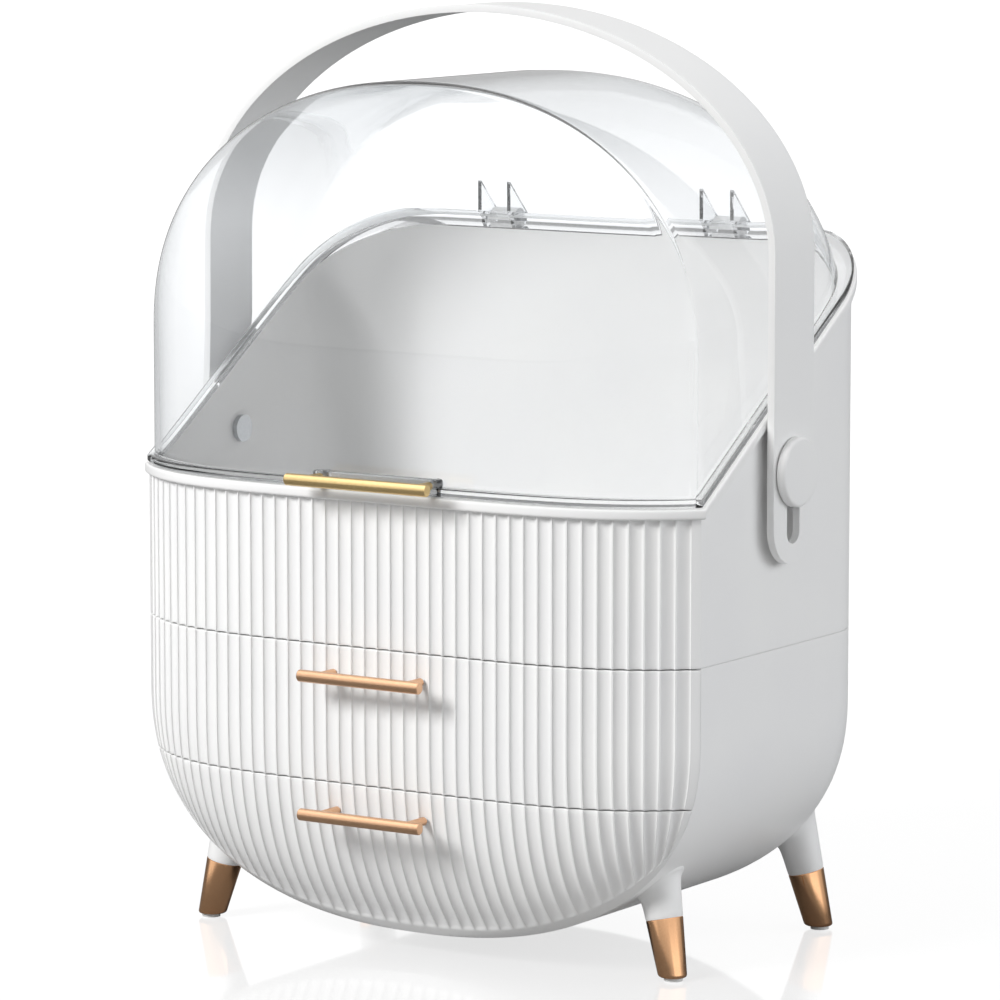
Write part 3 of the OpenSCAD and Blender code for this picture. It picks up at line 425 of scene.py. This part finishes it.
def drawer_front(high, low, rows):
    """A front from its top edge to its bottom edge, or to the belly's outline if low is None."""
    u = front_shares
    curl = np.abs(u) ** CURL
    share = np.where(np.abs(u) > 0.9999, math.exp(-1 / CURL),
                     np.abs(u) ** (1 / np.maximum(1 - curl, 1e-6)))
    foot = np.full(len(u), float(low)) if low is not None \
        else BELLY_TOP - BELLY_DEEP * squircle(share, BELLY_POWER)
    points = []
    for row in rows:
        z = high + (foot - high) * row
        x = u * HALF * (half_width(z) / HALF) ** curl
        draw = 1 - np.clip((BELLY_TOP - z) / BELLY_DEEP, 0, 1) ** 3
        y = CORNER_Y - BOW * draw * (1 - np.clip(np.abs(x) / half_width(z), 0, 1) ** BOW_POWER)
        fade = np.ones(len(u)) if low is not None \
            else np.clip((z - foot - FADE_START) / FADE_RUN, 0, 1) ** 0.5
        y = y + flute_depths * fade
        edge = EDGE * (1 - np.sqrt(1 - np.clip(1 - (high - z) / EDGE, 0, 1) ** 2))
        if low is not None:
            edge = edge + EDGE * (1 - np.sqrt(1 - np.clip(1 - (z - low) / EDGE, 0, 1) ** 2))
        points.append(np.stack([x, np.minimum(y + edge, CORNER_Y), z], 1))
    columns = len(u)
    faces = quads(len(rows), columns, 0, False)
    flat = np.concatenate(points)
    first = len(flat)
    rim = list(range(columns)) + [r * columns + columns - 1 for r in range(1, len(rows))]
    rim += [(len(rows) - 1) * columns + k for k in range(columns - 2, -1, -1)]
    rim += [r * columns for r in range(len(rows) - 2, 0, -1)]
    back = flat[rim].copy()
    back[:, 1] = CORNER_Y
    faces += [(rim[k], rim[(k + 1) % len(rim)], first + (k + 1) % len(rim), first + k)
              for k in range(len(rim))]
    faces.append(tuple(first + k for k in range(len(rim))))
    return np.concatenate([flat, back]), faces


upper_high, upper_low = DECK_Z - SEAM, LOWER_TOP + SEAM / 2
lower_high = LOWER_TOP - SEAM / 2
edge_rows = np.array([0, 0.05, 0.13, 0.25, EDGE])
tall = upper_high - upper_low
upper_rows = np.concatenate([edge_rows / tall, np.linspace(0.02, 0.98, 22),
                             1 - edge_rows[::-1] / tall])
lower_rows = np.concatenate([edge_rows / 66, np.sin(np.radians(np.linspace(3, 90, 46)))])
make_piece("upper_front", drawer_front(upper_high, upper_low, upper_rows), white_abs,
           "upper_drawer", ["upper_drawer_front"])
make_piece("lower_front", drawer_front(lower_high, None, lower_rows), white_abs,
           "lower_drawer", ["lower_drawer_front"])

# ------------------------------------------------------------------------------------------
# The drawer trays, the shelf between them and the lower drawer's rails: plain white ABS
# mouldings with a duller surface than the outside, because nobody polishes their moulds.

inner_abs, tree = new_finish("moulded_matt_abs")
place = add_node(tree, "ShaderNodeTexCoord", {}, {})
grain = add_node(tree, "ShaderNodeTexNoise", {"Scale": 1 / 0.0015, "Detail": 3},
                 {"Vector": place.outputs["Object"]})
sheen = add_node(tree, "ShaderNodeMapRange", {"To Min": 0.5, "To Max": 0.62},
                 {"Value": grain.outputs["Fac"]})
tint = add_node(tree, "ShaderNodeValToRGB", {}, {"Fac": grain.outputs["Fac"]})
tint.color_ramp.elements[0].color = linear("#EAEAE9")
tint.color_ramp.elements[1].color = linear("#EFEFEE")
bump = add_node(tree, "ShaderNodeBump", {"Strength": 0.08, "Distance": 0.0001},
                {"Height": grain.outputs["Fac"]})
shader = add_node(tree, "ShaderNodeBsdfPrincipled", {"IOR": 1.5}, {
    "Base Color": tint.outputs["Color"], "Roughness": sheen.outputs["Result"],
    "Normal": bump.outputs["Normal"]})
add_node(tree, "ShaderNodeOutputMaterial", {}, {"Surface": shader.outputs[0]})


def dress(finish, *nodes):
    """Gives CAD nodes that stay as they are their finish."""
    for node in nodes:
        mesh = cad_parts[node].data
        mesh.materials.clear()
        mesh.materials.append(finish)


dress(inner_abs, "upper_drawer_tray", "lower_drawer_tray", "drawer_shelf", "drawer_runners",
      "slot_bush_left", "slot_bush_right")
dress(white_abs, "hinge_bracket_left", "hinge_bracket_right")

# ------------------------------------------------------------------------------------------
# The lid: one clear moulding in styrene acrylonitrile, 2 mm thick. A bowed front runs up into
# a flat arch, the back is rounded, and a flange round the bottom rests on the tub's rim. Two
# pairs of thin ears at the back hang on the hinge pins.

LID_HALF, LID_INSET, LID_THICK = 137.5, 2.5, 2             # half width, set back, wall
LID_RISE, LID_ARCH, ARCH_POWER = 169.6, 109, 2.15
ARCH_Z = RIM_Z + LID_RISE - LID_ARCH
FLANGE_GAP, FLANGE_THICK, FLANGE_SIDE = 0.3, 3.6, 1
HINGE_X, HINGE_Y, HINGE_Z = 57, 101.55, 302.4
ARCH_STEPS, FRONT_ROWS = 96, 26

# Clear styrene acrylonitrile, polished by its mould: colourless, hard and mirror smooth. Where a
# wall is seen edge on, its colour is painted grey, then nearly black: painted shade for its
# outlines.
clear_san, tree = new_finish("clear_moulded_san")
slant = add_node(tree, "ShaderNodeLayerWeight", {"Blend": 0.5}, {})
# Painted shade: clear where the wall faces the lens, grey and then near black as it turns edge on
tint = add_node(tree, "ShaderNodeValToRGB", {}, {"Fac": slant.outputs["Facing"]})
stops = tint.color_ramp.elements
stops.new(0.8)
for stop, (place, shade) in zip(stops, ((0.5, "#FCFDFE"), (0.85, "#C6CACD"), (1, "#2E3234"))):
    stop.position, stop.color = place, linear(shade)
shader = add_node(tree, "ShaderNodeBsdfPrincipled",
                  {"Roughness": 0.01, "IOR": 1.46, "Transmission Weight": 1},
                  {"Base Color": tint.outputs["Color"]})
add_node(tree, "ShaderNodeOutputMaterial", {}, {"Surface": shader.outputs[0]})


def lid_side(z, inset):
    """Half the lid's width at height z."""
    rise = np.maximum(0, z - ARCH_Z) / (LID_ARCH - inset)
    return (LID_HALF - inset) * squircle(rise, ARCH_POWER)


def lid_ring(y, inset, lift):
    """The lid's outline at depth y, from its left bottom over the arch to its right bottom."""
    z = rim_at(y) + lift
    high = LID_ARCH - inset
    start = math.asin((max(0, z + 6 - ARCH_Z) / high) ** (ARCH_POWER / 2))
    turn = np.pi - start - (np.pi - 2 * start) * np.arange(ARCH_STEPS + 1) / ARCH_STEPS
    x = (LID_HALF - inset) * np.sign(np.cos(turn)) * np.abs(np.cos(turn)) ** (2 / ARCH_POWER)
    top = ARCH_Z + high * np.abs(np.sin(turn)) ** (2 / ARCH_POWER)
    side = lid_side(z, inset)
    return np.stack([np.concatenate([[-side], x, [side]]), np.full(ARCH_STEPS + 3, y),
                     np.concatenate([[z], top, [z]])], 1)


def lid_front(x, z, inset):
    """How far forward the lid's front stands at a place on it."""
    climb = np.clip((z - RIM_Z) / (LID_RISE - inset), 0, 1)
    share = np.clip(np.abs(x) / lid_side(z, inset), 0, 1)
    return CORNER_Y + inset - (BOW - LID_INSET) * (1 - share ** BOW_POWER) * (1 - climb ** 3)


def lid_skin(inset, lift, edge):
    """A skin's points, its faces, and the loop along its bottom from the back left round."""
    radius = BACK_ROUND - inset
    front = CORNER_Y + inset
    places = [(front + edge, inset)]
    places += [(y, inset) for y in np.linspace(front + 6, BACK_Y - BACK_ROUND - LID_INSET, 13)]
    places += [(BACK_Y - BACK_ROUND + radius * math.sin(a) - LID_INSET,
                inset + radius * (1 - math.cos(a)))
               for a in np.radians(np.linspace(0, 90, 19))[1:]]
    rings = [lid_ring(y, e, lift) for y, e in places]
    corner, start = lid_ring(front, inset, lift), lid_ring(front, inset + edge, lift)
    start[:, 1] = lid_front(start[:, 0], start[:, 2], inset)
    rings = [start * t * t + 2 * corner * t * (1 - t) + rings[0] * (1 - t) ** 2
             for t in (1, 0.8, 0.6, 0.4, 0.2)] + rings
    wide = ARCH_STEPS + 3
    hang = np.arange(2, wide - 2)
    first = len(rings) * wide
    fronts = []
    for j in range(1, FRONT_ROWS + 1):
        p = rings[0][hang]
        z = p[:, 2] + (rings[0][0, 2] - p[:, 2]) * j / FRONT_ROWS
        fronts.append(np.stack([p[:, 0], lid_front(p[:, 0], z, inset), z], 1))
    points = np.concatenate(rings + fronts)
    spot = lambda i, j: i if j == 0 else first + (j - 1) * len(hang) + i - 2
    faces = quads(len(rings), wide, 0, False)
    faces.append(tuple((len(rings) - 1) * wide + k for k in range(wide)))
    faces += [(spot(i, j), spot(i + 1, j), spot(i + 1, j + 1), spot(i, j + 1))
              for i in range(2, wide - 3) for j in range(FRONT_ROWS)]
    faces += [(0, 1, 2), (wide - 1, wide - 2, wide - 3)]
    for j in range(FRONT_ROWS):
        faces += [(0, spot(2, j), spot(2, j + 1)),
                  (wide - 1, spot(wide - 3, j), spot(wide - 3, j + 1))]
    bottom = [r * wide for r in range(len(rings) - 1, -1, -1)]
    bottom += [spot(i, FRONT_ROWS) for i in range(2, wide - 2)]
    bottom += [r * wide + wide - 1 for r in range(len(rings))]
    return points, faces, bottom


outer_points, outer_faces, outer_bottom = lid_skin(0, FLANGE_GAP + FLANGE_THICK + 0.8, 2.2)
inner_points, inner_faces, inner_bottom = lid_skin(LID_THICK, FLANGE_GAP, 0.7)
root = outer_points[outer_bottom][:, :2]
depth = len(outer_bottom)
turns = np.radians(np.linspace(0, 90, 19))[1:]
side_ys = [CORNER_Y + 2.2] + list(np.linspace(CORNER_Y + 6, BACK_Y - BACK_ROUND - LID_INSET, 13))
flange_half, flange_round = HALF + FLANGE_SIDE, BACK_ROUND + FLANGE_SIDE
side_edge = ([(flange_half, y) for y in side_ys]
             + [(HALF - BACK_ROUND + flange_round * math.cos(a),
                 BACK_Y - BACK_ROUND + flange_round * math.sin(a)) for a in turns])
front_edge = root[len(side_edge):depth - len(side_edge)]
front_share = front_edge[:, 0] / LID_HALF
edge = np.concatenate([[(-x, y) for x, y in side_edge[::-1]],
                       np.stack([front_share * flange_half,
                                 bow_y(front_share, BOW + FLANGE_SIDE)], 1), side_edge])
outward = edge - root
reach = np.linalg.norm(outward, axis=1, keepdims=True)
outward = outward / reach


def flange_ring(plan_points, up):
    """Points of the plan, set at a height over the rim's slope."""
    return np.concatenate([plan_points, (rim_at(plan_points[:, 1]) + up)[:, None]], 1)


top, low, soft, inner_soft = FLANGE_GAP + FLANGE_THICK, FLANGE_GAP, 1.1, 0.8
flange_rings = [flange_ring(root + outward * inner_soft * (1 - math.cos(a)),
                            top + inner_soft * (1 - math.sin(a))) for a in quarter[1:]]
flange_rings += [flange_ring(edge - outward * soft * (1 - math.sin(a)),
                             top - soft * (1 - math.cos(a))) for a in quarter]
flange_rings += [flange_ring(edge - outward * soft * (1 - math.cos(a)),
                             low + soft * (1 - math.sin(a))) for a in quarter]
first_inner = len(outer_points)
first_ring = first_inner + len(inner_points)
loops = [outer_bottom]
loops += [[first_ring + r * depth + k for k in range(depth)] for r in range(len(flange_rings))]
loops += [[first_inner + k for k in inner_bottom]]
faces = outer_faces + [tuple(first_inner + k for k in f) for f in inner_faces]
for near, far in zip(loops, loops[1:]):
    faces += [(near[k], near[(k + 1) % depth], far[(k + 1) % depth], far[k]) for k in range(depth)]
shell = (np.concatenate([outer_points, inner_points] + flange_rings), faces)

# An ear: a thin web from the lid's back down to a knuckle round the hinge pin
EAR_APART, EAR_HALF = 7.75, 0.9
ears = []
turn = np.radians(np.linspace(-60, 50, 12))
knuckle = [(HINGE_Y + 4 * math.cos(a), HINGE_Z + 4 * math.sin(a)) for a in turn]
web = [(BACK_Y - LID_INSET + 0.03, rim_at(BACK_Y) + 4.2), (HINGE_Y - 5.5, rim_at(BACK_Y) + 1.0)]
web += knuckle + [(BACK_Y - LID_INSET + 0.03, rim_at(BACK_Y) + 18.3)]
for side in (-1, 1):
    for end in (-1, 1):
        middle = side * HINGE_X + end * EAR_APART
        count = len(web)
        points = [(middle + s * EAR_HALF, y, z) for s in (-1, 1) for y, z in web]
        ears.append((points, [tuple(range(count)), tuple(range(count, 2 * count))]
                     + [(k, (k + 1) % count, count + (k + 1) % count, count + k)
                        for k in range(count)]))

# A solid clear pad stands out from the lid's front, and the pull's posts are screwed to it
PAD_HALF, PAD_Y, PAD_Z, PAD_EDGE = 31.5, (-89.75, -84.95), (202, 208.8), 0.7
loop = []
for corner, (y, z) in enumerate(((1, 1), (0, 1), (0, 0), (1, 0))):
    centre = PAD_Y[y] - (2 * y - 1) * PAD_EDGE, PAD_Z[z] - (2 * z - 1) * PAD_EDGE
    loop += [(*centre, math.cos(a), math.sin(a)) for a in quarter + math.radians(90 * corner)]
pad_end = [(PAD_HALF - PAD_EDGE * (1 - math.cos(a)), PAD_EDGE * (1 - math.sin(a)))
           for a in quarter]
pad_rings = []
for x, inset in [(-x, inset) for x, inset in pad_end] + pad_end[::-1]:
    out = PAD_EDGE - inset
    pad_rings.append([(x, y + out * c, z + out * s) for y, z, c, s in loop])
wide = len(loop)
pad = (np.concatenate(pad_rings), quads(len(pad_rings), wide)
       + [tuple(range(wide)), tuple((len(pad_rings) - 1) * wide + k for k in range(wide))])
lid = make_piece("lid", join(shell, pad, *ears), clear_san, "lid", ["clear_lid"])
lid.visible_shadow = False             # clear plastic hardly dims the lamps

# ------------------------------------------------------------------------------------------
# The strap handle: one flat white moulding bent over the lid, slotted near its round ends so
# that it can be lifted on its pivots. A round white button covers each pivot pin.

STRAP_WIDE, STRAP_THICK = 32.6, 3.3
STRAP_OUT, STRAP_ARCH, STRAP_ARCH_Z = 146.4, 101.5, 300
TAIL_Z, SLOT_HALF, LIFT = 171.3, 5.25, 25
end_round = STRAP_WIDE / 2
ninety = np.radians(np.linspace(0, 90, 9))
heights = np.unique(np.round(np.concatenate([
    TAIL_Z + end_round * (1 - np.cos(np.radians(np.linspace(7, 90, 12)))),
    PIVOT_Z - LIFT - SLOT_HALF * np.cos(ninety), np.linspace(PIVOT_Z - LIFT, PIVOT_Z, 5),
    PIVOT_Z + SLOT_HALF * np.sin(ninety), np.linspace(224, STRAP_ARCH_Z - 6, 7)]), 4))
arch = np.radians(np.linspace(0, 180, 97))
path = ([(-STRAP_OUT, z) for z in heights]
        + [(-STRAP_OUT * math.cos(a), STRAP_ARCH_Z + STRAP_ARCH * math.sin(a)) for a in arch]
        + [(STRAP_OUT, z) for z in heights[::-1]])
strip, strip_faces, spread = [], [], 6
for x, z in path:
    wide = math.sqrt(end_round ** 2 - max(0, TAIL_Z + end_round - z) ** 2)
    past = max(PIVOT_Z - LIFT - z, z - PIVOT_Z, 0)
    slot = math.sqrt(SLOT_HALF ** 2 - past ** 2) if past < SLOT_HALF else 0
    for sign in (-1, 1):
        for k in range(spread):
            strip.append((x, PIVOT_Y + sign * (slot + (wide - slot) * k / (spread - 1)), z))
for r in range(len(path) - 1):
    for sign in (0, 1):
        for k in range(spread - 1):
            a = (r * 2 + sign) * spread + k
            b = a + 2 * spread
            strip_faces.append((a, b, b + 1, a + 1) if sign == 0 else (a, a + 1, b + 1, b))
strap = make_piece("strap", (strip, strip_faces), white_abs, "handle",
                   ["carry_strap"], turn_faces=False)
thicken = strap.modifiers.new("thickness", "SOLIDIFY")
thicken.thickness = STRAP_THICK / 1000
thicken.offset = 1
thicken.use_even_offset = True
soften = strap.modifiers.new("soft_edges", "BEVEL")
soften.width = 0.0009
soften.segments = 3
soften.limit_method = "ANGLE"
soften.angle_limit = math.radians(50)

BUTTON_R, BUTTON_OUT, BUTTON_IN, BUTTON_SOFT = 14.8, 150.6, 146.7, 1.6
AXIS = 0.01                 # a hair off the middle, so that no face there is without area
for side, name in ((-1, "left"), (1, "right")):
    profile = [(AXIS, BUTTON_OUT), (6, BUTTON_OUT), (11.5, BUTTON_OUT - 0.1)]
    profile += [(BUTTON_R - BUTTON_SOFT * (1 - math.sin(a)),
                 BUTTON_OUT - 0.1 - BUTTON_SOFT * (1 - math.cos(a))) for a in quarter]
    profile += [(BUTTON_R, BUTTON_IN + 0.4), (BUTTON_R - 0.3, BUTTON_IN + 0.02),
                (AXIS, BUTTON_IN)]
    make_piece("button_" + name, lathe([(r, side * x) for r, x in profile], 96, "x",
                                       (0, PIVOT_Y, PIVOT_Z)),
               white_abs, "casing", ["button_" + name])

# ------------------------------------------------------------------------------------------
# The pulls: turned bars on round posts, in anodised aluminium with a fine satin. The two on
# the drawers are rose gold and the one on the lid is a yellower gold.


def anodised(name, light, dark, roughness):
    """Satin anodised aluminium: the colour is in the metal's oxide, with fine turning lines."""
    finish, tree = new_finish(name)
    place = add_node(tree, "ShaderNodeTexCoord", {}, {})
    stretch = add_node(tree, "ShaderNodeMapping", {"Scale": (1, 8, 8)},
                       {"Vector": place.outputs["Object"]})
    lines = add_node(tree, "ShaderNodeTexNoise", {"Scale": 1 / 0.002, "Detail": 4},
                     {"Vector": stretch.outputs[0]})
    tint = add_node(tree, "ShaderNodeValToRGB", {}, {"Fac": lines.outputs["Fac"]})
    tint.color_ramp.elements[0].position, tint.color_ramp.elements[1].position = 0.3, 0.7
    tint.color_ramp.elements[0].color = linear(dark)
    tint.color_ramp.elements[1].color = linear(light)
    satin = add_node(tree, "ShaderNodeMapRange", {"To Min": roughness - 0.04,
                                                  "To Max": roughness + 0.04},
                     {"Value": lines.outputs["Fac"]})
    bump = add_node(tree, "ShaderNodeBump", {"Strength": 0.06, "Distance": 0.0001},
                    {"Height": lines.outputs["Fac"]})
    shader = add_node(tree, "ShaderNodeBsdfPrincipled", {"Metallic": 1}, {
        "Base Color": tint.outputs["Color"], "Roughness": satin.outputs["Result"],
        "Normal": bump.outputs["Normal"]})
    add_node(tree, "ShaderNodeOutputMaterial", {}, {"Surface": shader.outputs[0]})
    return finish


rose_gold = anodised("rose_gold_anodised_aluminium", "#E6BC98", "#D9AC88", 0.34)
yellow_gold = anodised("yellow_gold_anodised_aluminium", "#EFD39C", "#E2C388", 0.32)


BAR_R, BAR_EDGE = 2.6, 0.6
DRAWER_BAR, DRAWER_BAR_Y, UPPER_BAR_Z, LOWER_BAR_Z = 61, -101.45, 123.2, 64
LID_BAR, LID_BAR_Y, LID_BAR_Z = 71, -102.95, 206.1


def bar(length, y, z):
    """A turned bar with softly broken end edges."""
    half = length / 2
    ends = [(AXIS, half), (BAR_R - BAR_EDGE, half)]
    ends += [(BAR_R - BAR_EDGE * (1 - math.sin(a)), half - BAR_EDGE * (1 - math.cos(a)))
             for a in quarter[1:]]
    profile = ends + [(radius, -x) for radius, x in ends[::-1]]
    return lathe(profile, 40, "x", (0, y, z))


make_piece("upper_bar", bar(DRAWER_BAR, DRAWER_BAR_Y, UPPER_BAR_Z), rose_gold,
           "upper_drawer", ["upper_pull_bar"])
make_piece("lower_bar", bar(DRAWER_BAR, DRAWER_BAR_Y, LOWER_BAR_Z), rose_gold,
           "lower_drawer", ["lower_pull_bar"])
make_piece("lid_bar", bar(LID_BAR, LID_BAR_Y, LID_BAR_Z), yellow_gold, "lid",
           ["lid_pull_bar"])
dress(rose_gold, "upper_pull_posts", "lower_pull_posts")
dress(yellow_gold, "lid_pull_posts")

# ------------------------------------------------------------------------------------------
# The legs: white ABS cones that flare where they meet the belly, with rose gold metal tips
# pressed over their ends and small translucent pads underneath.

FOOT_X, FOOT_FRONT, FOOT_REAR = 118.9, -43.95, 79.05
SPLAY, RAKE = 13, 5         # how far a leg leans outwards and along, in degrees
TIP_HIGH, TIP_TOP, TIP_END = 26, 7.85, 5.9
TAPER = 0.075               # how much the radius grows for each millimetre up the leg
FLARE = 1.7                 # the fillet into the belly
LEG_START, LEG_LIMIT = 26.2, 62            # where a leg's side starts, and its furthest reach
PAD_HIGH, TIP_SOFT = 1.5, 1.1

# The tips are the same anodised aluminium, buffed brighter before it was dyed
polished_rose = anodised("rose_gold_polished_aluminium", "#E4B48A", "#D9A67C", 0.16)


def under_belly(x, y):
    """The height of the belly's underside over a point of the floor."""
    turn = np.clip((y - (BACK_Y - BACK_ROUND)) / BACK_ROUND, 0, 1)
    inset = BACK_ROUND * (1 - np.sqrt(1 - turn ** 2))
    return BELLY_TOP - (BELLY_DEEP - inset) * squircle(x / (HALF - inset), BELLY_POWER)


def at_foot(points, side, end):
    """Leans points along a leg and moves them to its foot."""
    lean = Matrix.Rotation(math.radians(-side * SPLAY), 3, "Y") @ Matrix.Rotation(
        math.radians(end * RAKE), 3, "X")
    foot = (side * FOOT_X, FOOT_FRONT if end < 0 else FOOT_REAR, 0)
    return np.asarray(points) @ np.array(lean).T + foot


AROUND = 64
turn = 2 * np.pi * np.arange(AROUND) / AROUND


def ring(radius, along):
    """A ring of points round the leg, a way along it."""
    return np.stack([radius * np.cos(turn), radius * np.sin(turn),
                     np.broadcast_to(along, turn.shape)], 1)


for side, side_name in ((-1, "left"), (1, "right")):
    for end, end_name in ((-1, "front"), (1, "rear")):
        name = end_name + "_" + side_name
        reach = np.full(AROUND, float(TIP_HIGH))   # where each line up it meets the belly
        for step in np.arange(TIP_HIGH, LEG_LIMIT, 0.1):
            spot = at_foot(ring(8.6 + (step - TIP_HIGH) * 0.06, step), side, end)
            reach = np.where(spot[:, 2] < under_belly(spot[:, 0], spot[:, 1]), step, reach)
        rows = [at_foot(ring(TIP_TOP - 0.7, 25.7), side, end),
                at_foot(ring(TIP_TOP - 0.15, 26.0), side, end)]
        for s in 1 - (1 - np.linspace(0.02, 1, 26)) ** 1.8:
            t = LEG_START + (reach - LEG_START) * s
            radius = TIP_TOP + (t - TIP_HIGH) * TAPER + FLARE * np.exp(-(reach - t) / FLARE)
            spot = at_foot(ring(radius, t), side, end)
            if s == 1:
                spot[:, 2] = under_belly(spot[:, 0], spot[:, 1]) + 0.6
            rows.append(spot)
        caps = [tuple(range(AROUND)), tuple((len(rows) - 1) * AROUND + k for k in range(AROUND))]
        make_piece("leg_" + name, (np.concatenate(rows), quads(len(rows), AROUND) + caps),
                   white_abs, "casing", ["leg_" + name])

        rows = [at_foot(ring(TIP_TOP - inset, t), side, end)
                for inset, t in ((1.2, 26), (0.35, 26), (0.1, 25.85), (0.02, 25.5))]
        foot = at_foot(ring(TIP_END, 0), side, end)
        head = at_foot(ring(TIP_TOP, TIP_HIGH), side, end)
        soft_end = [(TIP_SOFT * (1 - math.cos(a)), PAD_HIGH + TIP_SOFT * (1 - math.sin(a)))
                    for a in quarter]
        for inset, height in [(0, 6), (0, 3.1)] + soft_end:
            share = (height - foot[:, 2]) / (head[:, 2] - foot[:, 2])
            spot = foot + (head - foot) * share[:, None]
            centre = spot.mean(0)
            rows.append(centre + (spot - centre) * (1 - inset / TIP_END))
        caps = [tuple(range(AROUND)), tuple((len(rows) - 1) * AROUND + k for k in range(AROUND))]
        make_piece("tip_" + name, (np.concatenate(rows), quads(len(rows), AROUND) + caps),
                   polished_rose, "casing", ["tip_" + name])

# Soft clear rubber for the pads: milky, dull and a little see-through.
pad_rubber, tree = new_finish("milky_clear_rubber")
place = add_node(tree, "ShaderNodeTexCoord", {}, {})
grain = add_node(tree, "ShaderNodeTexNoise", {"Scale": 1 / 0.0015},
                 {"Vector": place.outputs["Object"]})
tint = add_node(tree, "ShaderNodeValToRGB", {}, {"Fac": grain.outputs["Fac"]})
tint.color_ramp.elements[0].color = linear("#D5D6D5")
tint.color_ramp.elements[1].color = linear("#E2E3E2")
shader = add_node(tree, "ShaderNodeBsdfPrincipled", {"Roughness": 0.6, "IOR": 1.45},
                  {"Base Color": tint.outputs["Color"]})
add_node(tree, "ShaderNodeOutputMaterial", {}, {"Surface": shader.outputs[0]})
dress(pad_rubber, "pad_front_left", "pad_front_right", "pad_rear_left", "pad_rear_right")

# ------------------------------------------------------------------------------------------
# The screws and pins: plain cylinders with round heads, headed from steel wire and zinc
# plated. The screws hold the casings, the fronts and the pulls from behind, and the pins carry
# the lid and the strap.

# Zinc plating: a cool grey with the faint mottle of its crystals
zinc, tree = new_finish("zinc_plated_steel")
place = add_node(tree, "ShaderNodeTexCoord", {}, {})
spangle = add_node(tree, "ShaderNodeTexVoronoi", {"Scale": 1 / 0.0012},
                   {"Vector": place.outputs["Object"]})
dull = add_node(tree, "ShaderNodeMapRange", {"To Min": 0.3, "To Max": 0.42},
                {"Value": spangle.outputs["Distance"]})
tint = add_node(tree, "ShaderNodeValToRGB", {}, {"Fac": spangle.outputs["Distance"]})
tint.color_ramp.elements[0].color = linear("#B9BCC0")
tint.color_ramp.elements[1].color = linear("#CDD0D3")
shader = add_node(tree, "ShaderNodeBsdfPrincipled", {"Metallic": 1}, {
    "Base Color": tint.outputs["Color"], "Roughness": dull.outputs["Result"]})
add_node(tree, "ShaderNodeOutputMaterial", {}, {"Surface": shader.outputs[0]})
dress(zinc, "casing_screws", "hinge_pin_left", "hinge_pin_right", "pivot_pin_left",
      "pivot_pin_right", "lid_pull_screws", "upper_pull_screws", "lower_pull_screws",
      "upper_front_screws", "lower_front_screws")
